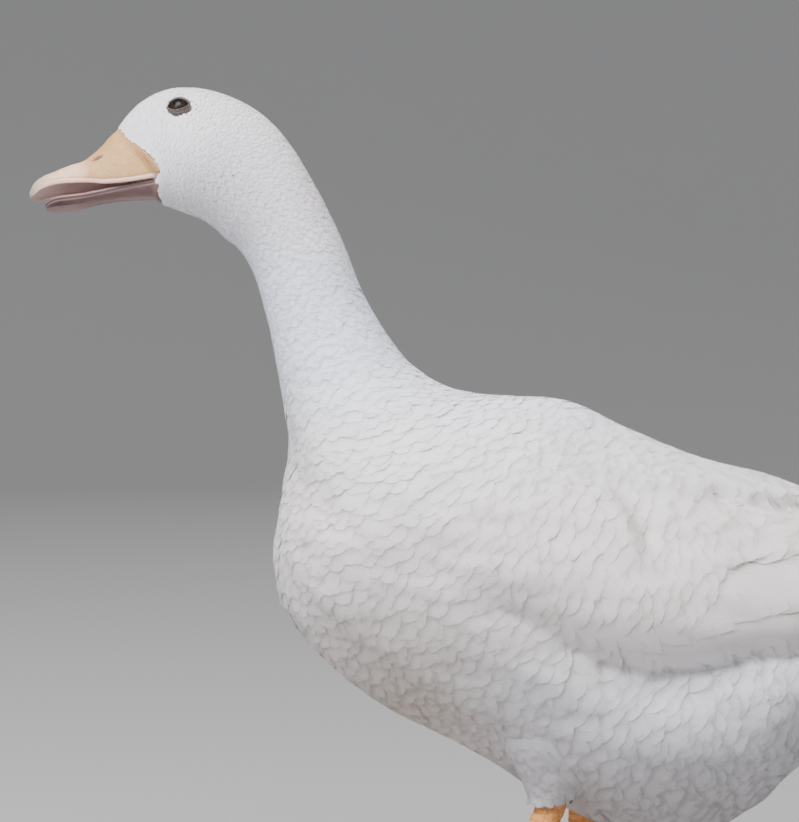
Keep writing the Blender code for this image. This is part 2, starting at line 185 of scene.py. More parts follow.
# %% Lights
LAMPS = (  # name, place, width of its disk, power and colour
    ("sky_lamp", (-0.6, -1.4, 2.95), 2.4, 222, (1.0, 0.98, 0.98)),
    ("bill_side_lamp", (-2.2, -2.3, 2.5), 2.0, 112, (0.80, 0.89, 1.0)),
    ("back_lamp", (1.2, 2.6, 2.2), 1.8, 24, (1.0, 1.0, 1.0)),
)
SKY, SKY_STRENGTH = (0.80, 0.84, 0.90), 0.20


def add_lamp(name, place, size, power, colour):
    data = bpy.data.lights.new(name, "AREA")
    data.shape = "DISK"
    data.size = size
    data.energy = power
    data.color = colour
    lamp = add_object(name, data)
    lamp.location = place
    lamp.rotation_euler = (Vector(place) - AIM).to_track_quat("Z", "Y").to_euler()


for lamp in LAMPS:
    add_lamp(*lamp)
world = bpy.data.worlds.new("sky")
world.use_nodes = True
world.node_tree.nodes["Background"].inputs["Color"].default_value = (*SKY, 1)
world.node_tree.nodes["Background"].inputs["Strength"].default_value = SKY_STRENGTH
bpy.context.scene.world = world
print("lamps:", ", ".join(lamp[0] for lamp in LAMPS))


# %% [markdown]
# ## The body's form
#
# Feathers need a surface to lie on, with a place, an outward direction and a way that the coat runs at every
# point. A grid gives all three: its rows cross the body like the ribs of a basket, from the bill to the
# tail, and its columns run along it. Each point is found by looking inwards from outside until the solid
# model is met. Rows fan out round the bends of the neck and the breast, so no two of them cross.

# %% The ribs that the rows follow
RIBS = (  # highest and lowest point as (x, z), and how far outside the middle to look from, in millimetres
    ("bill edge", (-230.0, 421.0), (-212.0, 385.5), 32),
    ("brow", (-215.0, 438.8), (-203.0, 383.5), 38),
    ("cheek", (-187.0, 445.8), (-193.0, 379.5), 44),
    ("occiput", (-156.5, 435.0), (-178.0, 372.5), 44),
    ("nape", (-141.0, 421.0), (-171.0, 366.0), 40),
    ("throat", (-128.0, 400.5), (-164.0, 361.0), 34),
    ("mid neck", (-109.0, 362.5), (-153.0, 337.5), 38),
    ("neck base", (-89.0, 320.0), (-144.5, 299.0), 46),
    ("crop", (-61.0, 292.0), (-138.5, 260.5), 70),
    ("breast", (-26.0, 286.0), (-145.0, 216.5), 110),
    ("shoulder", (14.0, 280.5), (-137.0, 164.5), 130),
    ("back", (52.0, 262.5), (-78.0, 118.0), 140),
    ("thigh", (93.5, 248.5), (8.0, 70.0), 140),
    ("vent", (138.0, 230.0), (92.0, 63.0), 140),
    ("rump", (153.0, 222.5), (122.0, 90.0), 130),
    ("tail root", (171.0, 215.5), (153.0, 120.0), 120),
    ("tail base", (203.0, 210.0), (187.0, 154.0), 80),
    ("tail fan", (236.5, 209.5), (229.0, 182.0), 60),
    ("tail tip", (271.5, 213.0), (271.0, 210.0), 40),
)
RIB = {row[0]: n for n, row in enumerate(RIBS)}
ROW_PITCH = {  # from one row to the next, in millimetres
    "bill edge": 0.9, "nape": 1.2, "neck base": 1.8, "shoulder": 2.6, "tail root": 2.2, "tail tip": 1.8,
}  # fmt: skip
COLUMNS = 240


# %% Curves, and steps along them
def curve_through(values, at, knots=None):
    """A smooth curve through rows of values that stand at 0, 1, 2 and so on, or at uneven knots."""
    values = np.asarray(values, float)
    knots = np.arange(len(values)) if knots is None else knots
    slopes = np.empty_like(values)
    slopes[1:-1] = (values[2:] - values[:-2]) / (knots[2:] - knots[:-2])[:, None]
    slopes[0], slopes[-1] = ((values[k + 1] - values[k]) / (knots[k + 1] - knots[k]) for k in (0, -2))
    i = np.clip(np.searchsorted(knots, at, side="right") - 1, 0, len(knots) - 2)
    step = (knots[i + 1] - knots[i])[:, None]
    s = (at - knots[i])[:, None] / step
    return (
        values[i] * (2 * s**3 - 3 * s**2 + 1)
        + slopes[i] * step * (s**3 - 2 * s**2 + s)
        + values[i + 1] * (3 * s**2 - 2 * s**3)
        + slopes[i + 1] * step * (s**3 - s**2)
    )


def summed(steps):
    """The sum so far, from 0."""
    return np.concatenate([[0], np.cumsum(steps)])


def steps_along(line):
    return np.linalg.norm(np.diff(line, axis=0), axis=1)


def by_rib(table, at):
    """A value given at some of the ribs, read at any place along them."""
    return np.interp(at, [RIB[name] for name in table], list(table.values()))


def rows_along_ribs():
    """Places along the ribs, a pitch apart on the line through the ribs' middles."""
    fine = np.linspace(0, len(RIBS) - 1, 4000)
    middle = curve_through([(np.add(d, v)) / 2 for _, d, v, _ in RIBS], fine)
    count = summed(steps_along(middle) / by_rib(ROW_PITCH, fine[:-1]))
    return np.interp(np.arange(int(count[-1]) + 1), count, fine)


rib_at = rows_along_ribs()
ROWS = len(rib_at)
column_angle = np.arange(COLUMNS) * 360.0 / COLUMNS
print("form grid:", ROWS, "rows of", COLUMNS)


# %% Look inwards from outside
def tree_of(names):
    """A search tree over some of the solid model's nodes, in millimetres."""
    points, faces = [], []
    for name in names:
        mesh = nodes[name].data
        start = len(points)
        points += [v.co / MM for v in mesh.vertices]
        mesh.calc_loop_triangles()
        faces += [[start + i for i in t.vertices] for t in mesh.loop_triangles]
    return BVHTree.FromPolygons(points, faces)


def reach_of(tree, middles, ups, looks):
    """How far out the solid goes from each middle, for each column. NaN where nothing is met."""
    turns = np.radians(column_angle)
    found = np.full((len(middles), COLUMNS), np.nan)
    for r, (middle, up, look) in enumerate(zip(middles, ups, looks)):
        for c in range(COLUMNS):
            out = Vector((up[0] * math.sin(turns[c]), math.cos(turns[c]), up[1] * math.sin(turns[c])))
            start = Vector((middle[0], 0, middle[1])) + out * look
            hit = tree.ray_cast(start, -out, look * 1.2)
            if hit[0] is not None:
                found[r, c] = look - hit[3]
    return found


rib_top = curve_through([row[1] for row in RIBS], rib_at)
rib_foot = curve_through([row[2] for row in RIBS], rib_at)
rib_middle = (rib_top + rib_foot) / 2
rib_half = np.linalg.norm(rib_top - rib_foot, axis=1) / 2
rib_up = (rib_top - rib_foot) / (2 * rib_half[:, None])
rib_look = curve_through([row[3:] for row in RIBS], rib_at)[:, 0]
BODY_NODES = ("tail", "trunk", "neck_lower", "neck_upper", "head", "eye_left", "eye_right")
body_reach = reach_of(tree_of(BODY_NODES), rib_middle, rib_up, rib_look)
wing_rows = np.flatnonzero((rib_at > RIB["breast"]) & (rib_at < RIB["tail fan"]))
wing_tree = tree_of(("wing_left", "primaries_left", "wing_right", "primaries_right"))
wing_reach = np.full_like(body_reach, np.nan)
wing_reach[wing_rows] = reach_of(wing_tree, *(grid[wing_rows] for grid in (rib_middle, rib_up, rib_look)))
for name, reach in (("body", body_reach), ("wings", wing_reach)):
    print("met on the", name + ":", int(np.isfinite(reach).sum()), "points")


# %% [markdown]
# The solid model has thin gaps between its nodes and a seat cut out for the bill. A look that falls into
# one comes back far too short, so a value that differs from its neighbours' median is put right, and the
# front of the head is carried on from the rows behind it. Rounds of averaging then take the facets away.

# %% Mend and smooth the reach
def shifted(grid, rows, columns=0):
    """The grid moved by whole rows, its ends held, and by whole columns, which close on themselves."""
    index = np.clip(np.arange(grid.shape[0]) + rows, 0, grid.shape[0] - 1)
    return np.roll(grid[index], -columns, axis=1)


def without_gaps(reach, tolerance=1.0, window=3):
    around = np.stack([shifted(reach, k) for k in range(-window, window + 1)])
    with warnings.catch_warnings():
        warnings.simplefilter("ignore")  # where nothing was met in any row around, nothing is put right
        median = np.nanmedian(around, axis=0)
    wrong = ~np.isfinite(reach) | (np.abs(reach - median) > tolerance)
    return np.where(wrong, median, reach)


def averaged(grid, rounds):
    for _ in range(rounds):
        grid = (shifted(grid, -1) + 2 * grid + shifted(grid, 1)) / 4
        grid = (shifted(grid, 0, -1) + 2 * grid + shifted(grid, 0, 1)) / 4
    return grid


def carried_forward(reach):
    """The bill's seat filled with the shape of the head just behind it."""
    share = reach / rib_half[:, None]
    lean = np.radians(column_angle)
    front = RIB["bill edge"] + 0.35 + 0.75 * np.clip(-np.sin(lean), 0, 1) + 0.75 * np.abs(np.cos(lean))
    for c in range(COLUMNS):
        first = int(np.searchsorted(rib_at, front[c]))
        share[:first, c] = share[first, c]
    return share * rib_half[:, None]


body_reach = carried_forward(without_gaps(without_gaps(body_reach)))
left_side = (column_angle > 92) & (column_angle < 285)
wing_reach = without_gaps(wing_reach, window=2)
on_wing = np.isfinite(wing_reach) & (wing_reach > body_reach + 0.5)
outer_reach = np.where(on_wing, wing_reach, body_reach)
print("points still missing:", int((~np.isfinite(outer_reach)).sum()))
print("share of the grid on the wings:", round(float(on_wing.mean()), 3))


# %% Where the folded wing lies
def wing_edges():
    """First and last row of the left wing, and its lower and upper column in each row between."""
    mask = on_wing & left_side[None, :]
    rows = np.flatnonzero(mask.sum(axis=1) > 3)
    rows = np.arange(rows[0], rows[-1] + 1)
    known = [r for r in rows if mask[r].any()]
    edges = []
    for furthest in (np.max, np.min):
        edge = np.interp(rows, known, [furthest(column_angle[mask[r]]) for r in known])
        edges.append(np.convolve(np.pad(edge, 4, "edge"), np.ones(9) / 9, "valid"))
    return rows, *edges


WING_ROWS, WING_LOW, WING_HIGH = wing_edges()


def wing_place(along, up, side):
    """Row and column of a place on a wing: along from its shoulder to its tip, up from its lower edge."""
    row = WING_ROWS[0] + np.asarray(along, float) * (len(WING_ROWS) - 1)
    low = np.interp(row, WING_ROWS, WING_LOW)
    high = np.interp(row, WING_ROWS, WING_HIGH)
    angle = low + (high - low) * np.asarray(up, float)
    if side > 0:
        angle = 180 - angle
    return row, angle / 360 * COLUMNS


print("wing rows:", WING_ROWS[0], "to", WING_ROWS[-1])


# %% [markdown]
# ## Soft relief
#
# A live bird's coat is not as even as a turned shape. The wing sits in a pocket of side feathers: its lower
# edge rolls inwards, and a cushion of white swells out under it. Between the shoulder feathers and the
# rounded front of the wing lies a hollow. The broad inner wing feathers and the flight feathers each end in
# an edge, the neck joins the breast in a fold, and the face has a brow, a hollow in front of the eye and a
# full cheek. Sculpting could do it, but a rise or a dip of the grid that fades out with distance can be
# given in millimetres, so each is one short formula.

# %% Relief helpers
def points_from(reach):
    turns = np.radians(column_angle)
    across, up = reach * np.cos(turns), reach * np.sin(turns)
    x, z = (rib_middle[:, i, None] + up * rib_up[:, i, None] for i in (0, 1))
    return np.stack([x, across, z], -1)


def rise(value, start, over):
    """0 up to the start, and 1 once a value is so far over it."""
    return np.clip((value - start) / over, 0, 1)


def fall(value, end, over):
    """1 until a value is so far before the end, and 0 from there on."""
    return np.clip((end - value) / over, 0, 1)


def ridge(value, middle, width):
    """1 where a value is at its middle, fading on both sides."""
    return np.exp(-(((value - middle) / width) ** 2))


def on_flank(points):
    """1 on the bird's sides, falling to 0 at its middle."""
    return rise(np.abs(points[..., 1]), 0, 30)


def bump(points, centre, width, height):
    """A rise, or a dip where height is negative, round one point and its mirror image."""
    spot = np.array(centre, float)
    total = 0
    for mirror in (1, -1) if spot[1] else (1,):
        away = points - spot * (1, mirror, 1)
        total = total + height * np.exp(-(away**2).sum(axis=-1) / (2 * width**2))
    return total


def beside_line(points, line):
    """Distance from a line seen from the side, and how far above it (below, if negative) each point is."""
    flat = points[..., (0, 2)]
    best = np.full(flat.shape[:-1], 1e9)
    above = np.zeros_like(best)
    for a, b in zip(line, line[1:]):
        a, b = np.array(a, float), np.array(b, float)
        step = b - a
        share = np.clip(((flat - a) @ step) / (step @ step), 0, 1)
        away = flat - (a + share[..., None] * step)
        far = np.linalg.norm(away, axis=-1)
        signed = (away[..., 1] * step[0] - away[..., 0] * step[1]) / np.linalg.norm(step)
        above = np.where(far < best, signed, above)
        best = np.minimum(best, far)
    return best, above


def furrow(points, line, width, depth, swell):
    """A furrow along a line on both flanks, with a swelling on either side of it."""
    far, _ = beside_line(points, line)
    dip = -depth * ridge(far, 0, width)
    return on_flank(points) * (dip + (far / width) * np.exp(-((far / (3 * width)) ** 2)) * swell)


def undulation(points, wavelength, height, seed):
    """A gentle waviness, the same each time, of a few plane waves that cross."""
    rng = np.random.default_rng(seed)
    total = 0
    for _ in range(7):
        way = rng.normal(size=3)
        way *= math.tau / wavelength / np.linalg.norm(way) * rng.uniform(0.7, 1.4)
        total = total + np.sin(points @ way + rng.uniform(0, math.tau))
    return height * total / 7**0.5


# %% Lines of the wing and the neck, seen from the side
outer_points = points_from(outer_reach)
wing_line = []
for share in np.linspace(0.0, 0.97, 14):
    row, column = wing_place(share, 0.0, -1)
    spot = outer_points[int(row), int(round(column)) % COLUMNS]
    wing_line.append((spot[0], spot[2]))
SCAPULAR_EDGE = ((-2, 253), (12, 254), (39, 248), (72, 241), (84, 238))
WRIST_EDGE = ((-14, 248), (8, 247), (22, 241), (32, 229), (37, 214))
TERTIAL_GAP = ((84, 241), (91, 239), (99, 236), (119, 233.5), (150, 228))
FLIGHT_LINE = ((84, 204), (106, 207), (124, 209), (150, 208))
NECK_FOLD = ((-143, 252), (-130, 240), (-112, 226))
FAR_SIDE = 0.3  # how strong the edges are on the far wing, which lies closer
WING_ROLL_IN, FLANK_SWELL, FLANK_TURNS_IN = 15.0, 7.0, 10.0
HOLLOW_DEPTH = 9.0
print("wing line:", [(round(x), round(z)) for x, z in wing_line])


# %% Edges and hollows
def pocket(points, line):
    """The wing's lower edge, rolled inwards into its pocket, and the cushion of side feathers under it."""
    far, above = beside_line(points, line)
    rolled_in = -WING_ROLL_IN * np.exp(-((far / 15) ** 1.25))
    cushion = FLANK_SWELL * ridge(far, 36, 30) - FLANK_TURNS_IN * np.exp(-far / 13)
    faded = rise(points[..., 0], -50, 80)
    return on_flank(points) * faded * np.where(above > 0, rolled_in, cushion)


def hollow(points, depth):
    """The hollow between the shoulder feathers above and the rounded front of the wing before it."""
    _, over_edge = beside_line(points, SCAPULAR_EDGE)
    far, past_wrist = beside_line(points, WRIST_EDGE)
    under = rise(-over_edge, 0, 4)
    behind = rise(past_wrist, 0, 9) * np.exp(-far / 30) * rise(points[..., 2], 196, 26)
    return -depth * on_flank(points) * under * behind * fall(points[..., 0], 100, 30)


def overhang(points, line, step, recover, swell, spread):
    """An edge over a hollow: a swelling above the line, and below it a sudden dip that recovers slowly."""
    far, above = beside_line(points, line)
    upper = swell * ridge(far, 0, spread)
    strength = on_flank(points) * np.where(points[..., 1] < 0, 1, FAR_SIDE)
    return strength * np.where(above > 0, upper, -step * np.exp(-far / recover))


outer_reach = averaged(outer_reach, 5)
form_points = points_from(outer_reach)
relief = pocket(form_points, wing_line)
relief = relief + hollow(form_points, HOLLOW_DEPTH)
relief = relief + overhang(form_points, TERTIAL_GAP, step=9.0, recover=7, swell=1.4, spread=8)
relief = relief + overhang(form_points, FLIGHT_LINE, step=1.2, recover=8, swell=0.4, spread=6)
relief = relief + furrow(form_points, NECK_FOLD, width=9, depth=2.2, swell=0.4)
relief = relief + bump(form_points, (-52, -84, 214), 12, -2.2)
print("relief of the wing and the neck:", relief.min().round(1), "to", relief.max().round(1), "mm")


# %% Clumps of the body and shapes of the face
# Clumps of feathers run longer down the breast than across it, so the waves are read from swept points.
WAVES = ((44, 1.1, 3), (19, 0.55, 4), (9, 0.2, 8))  # wavelength, height and seed
FACE = (  # from the middle of the eye, width and height of each rise or dip
    ((-1, 0, -1), 6.5, -1.3),  # the socket
    ((-3, -1, 7), 5, 0.9),  # the brow
    ((9, -1, 6), 5, 0.5),  # its end behind the eye
    ((-13, -4, -10), 4.5, -1.1),  # the hollow in front of the eye
    ((-20, -4, -17), 4, -0.7),  # and on towards the mouth
    ((6, -12, -18), 10, 0.8),  # the cheek
)
swept = form_points * (0.55, 1, 1) + form_points[..., 2:] * (0.45, 0, 0)
waves = sum(undulation(swept, *wave) for wave in WAVES)
relief = relief + rise(rib_at, RIB["neck base"], 1.5)[:, None] * waves
eye_low, eye_high = (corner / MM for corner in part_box("eye_left"))
eye_middle = np.array((eye_low + eye_high) / 2)
face_relief = sum(bump(form_points, eye_middle + place, width, height) for place, width, height in FACE)
relief = relief + fall(rib_at, RIB["nape"], 1.0)[:, None] * face_relief
outer_reach = averaged(outer_reach + relief, 1)
print("all the relief:", relief.min().round(1), "to", relief.max().round(1), "mm")


# %% [markdown]
# The finished grid is wrapped in a small class that answers, for many places at once, where a place is, which
# way is out, and how far one row or one column goes there. The rest of the coat asks only this.

# %% The form
def unit(vectors):
    return vectors / np.maximum(np.linalg.norm(vectors, axis=-1, keepdims=True), 1e-9)


def all_round(count):
    """Turns of a full circle, in radians."""
    return np.linspace(0, math.tau, count, endpoint=False)


class Form:
    """A tube of points in millimetres, rows along it and columns round it."""

    def __init__(self, points):
        self.points = points
        before, after = points[:1], points[-1:]
        padded = np.concatenate([2 * before - points[1:2], points, 2 * after - points[-2:-1]])
        self.by_row = (padded[2:] - padded[:-2]) / 2
        self.by_column = (np.roll(points, -1, axis=1) - np.roll(points, 1, axis=1)) / 2
        self.out = unit(np.cross(self.by_row, self.by_column))
        middle = points.mean(axis=1, keepdims=True)
        if ((points - middle) * self.out).sum() < 0:
            self.out = -self.out

    def read(self, grid, row, column):
        """A grid read between its points."""
        rows, columns = grid.shape[:2]
        row = np.clip(row, 0, rows - 1.001)
        r, c = np.floor(row).astype(int), np.floor(column).astype(int)
        u, v = row - r, column - c
        if grid.ndim > 2:
            u, v = u[..., None], v[..., None]
        c0, c1 = c % columns, (c + 1) % columns
        return (grid[r, c0] * (1 - v) + grid[r, c1] * v) * (1 - u) + (
            grid[r + 1, c0] * (1 - v) + grid[r + 1, c1] * v
        ) * u

    def place(self, row, column):
        return self.read(self.points, row, column)

    def outward(self, row, column):
        return unit(self.read(self.out, row, column))

    def step(self, row, column, way):
        """Rows and columns that a small move along the surface covers."""
        a, b = self.read(self.by_row, row, column), self.read(self.by_column, row, column)
        aa, bb, ab, aw, bw = ((u * v).sum(-1) for u, v in ((a, a), (b, b), (a, b), (a, way), (b, way)))
        det = np.maximum(aa * bb - ab * ab, 1e-6 * aa * bb + 1e-12)
        return (bb * aw - ab * bw) / det, (aa * bw - ab * aw) / det

    def lie(self, row, column, turn):
        """The direction straight back along the body, turned by some degrees about the outward one."""
        along = self.read(self.by_row, row, column)
        out = self.outward(row, column)
        along = unit(along - out * (along * out).sum(-1, keepdims=True))
        turn = np.radians(turn)[..., None]
        return along * np.cos(turn) + np.cross(out, along) * np.sin(turn)


body_form = Form(points_from(outer_reach))
low, high = body_form.points.min(axis=(0, 1)), body_form.points.max(axis=(0, 1))
print("form:", low.round(1), "to", high.round(1), "mm")


# %% [markdown]
# ## Where the bill begins and where the eyes look
#
# The duck holds its head rolled a little to its right, about the length of the bill. The feathers stop along
# a line that runs from the forehead down to the corner of the mouth and round under the chin. Each eye looks
# out square to the head there. These few facts steer the skin, the small feathers, the lids and the bill.

# %% The head's frame
HEAD_ROLL = math.radians(14)
ROLL_PIVOT = np.array((-221.0, 0.0, 403.25))
BILL_WAY = np.array((-272.0 + 205.6, 0.0, 386.8 - 395.0))
BILL_WAY /= np.linalg.norm(BILL_WAY)
FEATHER_LINE = (  # seen from the side, with the roll taken out
    (-229.5, 427.0),
    (-220.5, 415.8),
    (-212.4, 409.4),
    (-206.4, 404.2),
    (-203.0, 398.4),
    (-203.6, 392.5),
    (-205.0, 388.0),
    (-202.5, 382.5),
    (-202.0, 370.0),
)


def rolled(points, sign=1):
    """Points turned with the head about the bill's length, or turned back where sign is -1."""
    away = np.asarray(points, float) - ROLL_PIVOT
    turn = sign * HEAD_ROLL
    along = (away @ BILL_WAY)[..., None] * BILL_WAY
    return ROLL_PIVOT + along + (away - along) * math.cos(turn) + np.cross(BILL_WAY, away) * math.sin(turn)


far, side_of_line = beside_line(rolled(body_form.points, -1), FEATHER_LINE)
BEHIND_LINE = np.where(side_of_line > 0, far, -far)
BEHIND_LINE[rib_at > RIB["occiput"]] = 99
print("bare front of the form:", int((BEHIND_LINE < 0).sum()), "points")


# %% The eyes' frames
EYE_RADIUS = 6.4
LID_HALF_LENGTH, LID_ABOVE, LID_BELOW = 5.3, 2.8, 3.7  # the opening between the lids
SIDES = {"left": -1, "right": 1}


class EyeFrame:
    """The middle of an eye, and the ways out, back and up there."""

    def __init__(self, word):
        low, high = (np.array(v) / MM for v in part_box("eye_" + word))
        self.middle = (low + high) / 2
        near = np.linalg.norm(body_form.points - self.middle, axis=-1) < 9
        self.out = body_form.out[near].mean(axis=0)
        self.out /= np.linalg.norm(self.out)
        back = body_form.by_row[near].mean(axis=0)
        back -= self.out * (back @ self.out)
        self.back = back / np.linalg.norm(back)
        up = np.cross(self.out, self.back)
        self.up = up if up[2] > 0 else -up
        around = np.linalg.norm(body_form.points - self.middle, axis=-1)
        ring = (around > 8) & (around < 15)
        b, u, h = self.split(body_form.points[ring])
        self.fit = np.linalg.lstsq(np.stack([b * 0 + 1, b, u, b * b, b * u, u * u], -1), h, rcond=None)[0]

    def split(self, points):
        away = points - self.middle
        return away @ self.back, away @ self.up, away @ self.out

    def place(self, b, u, h):
        return self.middle + b[..., None] * self.back + u[..., None] * self.up + h[..., None] * self.out

    def surface(self, b, u):
        """How far out the coat's surface lies, as a smooth bowl over the eye."""
        return sum(k * v for k, v in zip(self.fit, (1, b, u, b * b, b * u, u * u)))


def opening(turn):
    """The lids' opening in each direction round the eye: pointed towards the bill and towards the ear."""
    across, up = np.abs(np.cos(turn)), np.abs(np.sin(turn))
    half = np.where(np.sin(turn) > 0, LID_ABOVE, LID_BELOW)
    power = 1.75
    return ((across / LID_HALF_LENGTH) ** power + (up / half) ** power) ** (-1 / power)


EYES = {word: EyeFrame(word) for word in SIDES}
for word, eye in EYES.items():
    print("eye_" + word, "looks out to", eye.out.round(2), "at", eye.middle.round(1))


# %% [markdown]
# ## Building meshes quickly
#
# Twelve thousand feathers would take minutes one object at a time. Here every feather of a tract is worked
# out at once in arrays and poured into one mesh.

# %% Pour arrays into a mesh
def pour(name, points, faces, material, uvs=None, values=None, outward=None, own_share=1.0):
    """An object from arrays: points in millimetres, and faces as lists of index arrays of 3 or 4 corners.

    Where outward is given, the shading leans from each face's own direction to that one.
    """
    faces = [f for f in faces if len(f)]
    mesh = bpy.data.meshes.new(name)
    mesh.vertices.add(len(points))
    mesh.vertices.foreach_set("co", (np.asarray(points) * MM).astype(np.float32).ravel())
    corners = np.concatenate([f.ravel() for f in faces]).astype(np.int32)
    sizes = np.concatenate([np.full(len(f), f.shape[1]) for f in faces])
    starts = summed(sizes)[:-1].astype(np.int32)
    mesh.loops.add(len(corners))
    mesh.loops.foreach_set("vertex_index", corners)
    mesh.polygons.add(len(sizes))
    mesh.polygons.foreach_set("loop_start", starts)
    mesh.update(calc_edges=True)
    for layer, per_point in (uvs or {}).items():
        made = mesh.uv_layers.new(name=layer)
        made.data.foreach_set("uv", per_point[corners].astype(np.float32).ravel())
    for attribute, per_point in (values or {}).items():
        made = mesh.attributes.new(attribute, "FLOAT", "POINT")
        made.data.foreach_set("value", np.asarray(per_point, np.float32))
    mesh.shade_smooth()
    if outward is not None:
        own = np.empty(len(points) * 3, np.float32)
        mesh.vertex_normals.foreach_get("vector", own)
        leaning = own.reshape(-1, 3) * own_share + outward * (1 - own_share)
        leaning /= np.maximum(np.linalg.norm(leaning, axis=1, keepdims=True), 1e-6)
        made = mesh.attributes.new("custom_normal", "FLOAT_VECTOR", "POINT")
        made.data.foreach_set("vector", leaning.astype(np.float32).ravel())
    mesh.materials.append(material)
    return add_object(name, mesh)


# %% Close a tube
def capped_tube(points):
    """Points and faces of a grid closed at both ends by a fan."""
    rows, columns = points.shape[:2]
    flat = np.concatenate([points.reshape(-1, 3), points[0].mean(0)[None], points[-1].mean(0)[None]])
    ring = np.arange(columns)
    first = np.stack([ring * 0 + rows * columns, ring, (ring + 1) % columns], -1)
    last = np.stack([ring * 0 + rows * columns + 1, (ring + 1) % columns, ring], -1)
    last[:, 1:] += (rows - 1) * columns
    return flat, [tube_faces(rows, columns), np.concatenate([first, last])]


# %% [markdown]
# ## White, with painted light and shade
#
# The white of a feather is warm on the breast and the side, where a farm duck brushes against mud and grass,
# and clean under the wing. On the neck it is whiter and cooler: partly cleaner feathers, partly painted
# light.
# Low on the breast it is painted brownish grey, as shade with the floor's colour reflected into it, and the
# belly is painted darker grey as shade. One node group works this out from the place on the body, and both
# the skin and every feather use it, so that no pale gap shows between them. On a feather, fine slanting
# lines for its barbs and a slight streakiness are added as relief only.

# %% Nodes in one line each
def add_node(tree, kind, **settings):
    node = tree.nodes.new(kind)
    for name, value in settings.items():
        setattr(node, name, value)
    return node


def attribute(tree, name):
    """A value that was stored with the mesh's points."""
    return add_node(tree, "ShaderNodeAttribute", attribute_name=name).outputs["Fac"]


def coordinates(tree):
    """Places on the body, in metres."""
    return add_node(tree, "ShaderNodeTexCoord").outputs["Object"]


def axes(tree, vector):
    node = add_node(tree, "ShaderNodeSeparateXYZ")
    tree.links.new(vector, node.inputs["Vector"])
    return node.outputs


def fill(tree, socket, value):
    """A socket linked to another, or set to a number or a colour."""
    if hasattr(value, "node"):
        tree.links.new(value, socket)
    else:
        socket.default_value = (*value, 1) if isinstance(value, tuple) else value


def calculated(tree, operation, *values):
    node = add_node(tree, "ShaderNodeMath", operation=operation)
    for socket, value in zip(node.inputs, values):
        fill(tree, socket, value)
    return node.outputs[0]


def ramp(tree, factor, stops, interpolation="EASE"):
    """A colour ramp through (place, colour) stops."""
    node = add_node(tree, "ShaderNodeValToRGB")
    node.color_ramp.interpolation = interpolation
    elements = node.color_ramp.elements
    while len(elements) < len(stops):
        elements.new(0.5)
    for element, (place, colour) in zip(elements, stops):
        element.position = place
        element.color = (*colour, 1)
    tree.links.new(factor, node.inputs["Fac"])
    return node.outputs["Color"]


def blend(tree, factor, first, second, how="MIX"):
    """Two colours mixed. factor, first and second are each a socket, a number or a colour."""
    node = add_node(tree, "ShaderNodeMix", data_type="RGBA", blend_type=how)
    for key, value in (("Factor", factor), ("A", first), ("B", second)):
        fill(tree, next(s for s in node.inputs if s.name == key and s.enabled), value)
    return next(s for s in node.outputs if s.enabled)


def noise(tree, scale, detail=2.0, roughness=0.5, vector=None):
    node = add_node(tree, "ShaderNodeTexNoise")
    for key, value in (("Scale", scale), ("Detail", detail), ("Roughness", roughness), ("Vector", vector)):
        if value is not None:
            fill(tree, node.inputs[key], value)
    return node.outputs["Fac"]


def spread_of(tree, value, low, high):
    """A value stretched so that low becomes 0 and high becomes 1."""
    node = add_node(tree, "ShaderNodeMapRange", clamp=True)
    for key, setting in (("Value", value), ("From Min", low), ("From Max", high)):
        fill(tree, node.inputs[key], setting)
    return node.outputs["Result"]


# %% Materials
def bare_material(name, roughness, sheen=0.0, coat=0.0, specular=0.5):
    """A material whose constant values sit on the shader's own sockets."""
    made = bpy.data.materials.new(name)
    made.use_nodes = True
    settings = {"Roughness": roughness, "Specular IOR Level": specular, "Sheen Weight": sheen}
    settings |= {"Sheen Roughness": 0.5, "Coat Weight": coat, "Coat Roughness": 0.08}
    for key, value in settings.items():
        shader_of(made).inputs[key].default_value = value
    return made


def link_colour(material, socket):
    material.node_tree.links.new(socket, shader_of(material).inputs["Base Color"])


def link_bump(material, height, strength, distance):
    tree = material.node_tree
    node = add_node(tree, "ShaderNodeBump")
    for key, value in (("Strength", strength), ("Distance", distance), ("Height", height)):
        fill(tree, node.inputs[key], value)
    tree.links.new(node.outputs["Normal"], shader_of(material).inputs["Normal"])


# %% The coat's colour by place
CLEAN_WHITE = (0.770, 0.770, 0.820)
# partly painted light: the neck is coloured whiter and bluer than the body, partly for cleaner feathers
NECK_WHITE_AND_PAINTED_LIGHT = (0.860, 0.890, 0.960)
WARM_WHITE = (0.800, 0.745, 0.725)
HEAD_WHITE = (0.860, 0.820, 0.850)
# painted shade: the belly is coloured darker grey to stand for the shade under the body
PAINTED_BELLY_SHADE = (0.510, 0.490, 0.500)
# painted shade: the low breast is coloured brownish grey for its shade and the floor's reflected colour
LOW_BREAST_PAINTED_SHADE = (0.510, 0.445, 0.395)
DUST = (0.740, 0.690, 0.620)
LID_DARK, LID_GREY = (0.045, 0.036, 0.033), (0.12, 0.10, 0.092)


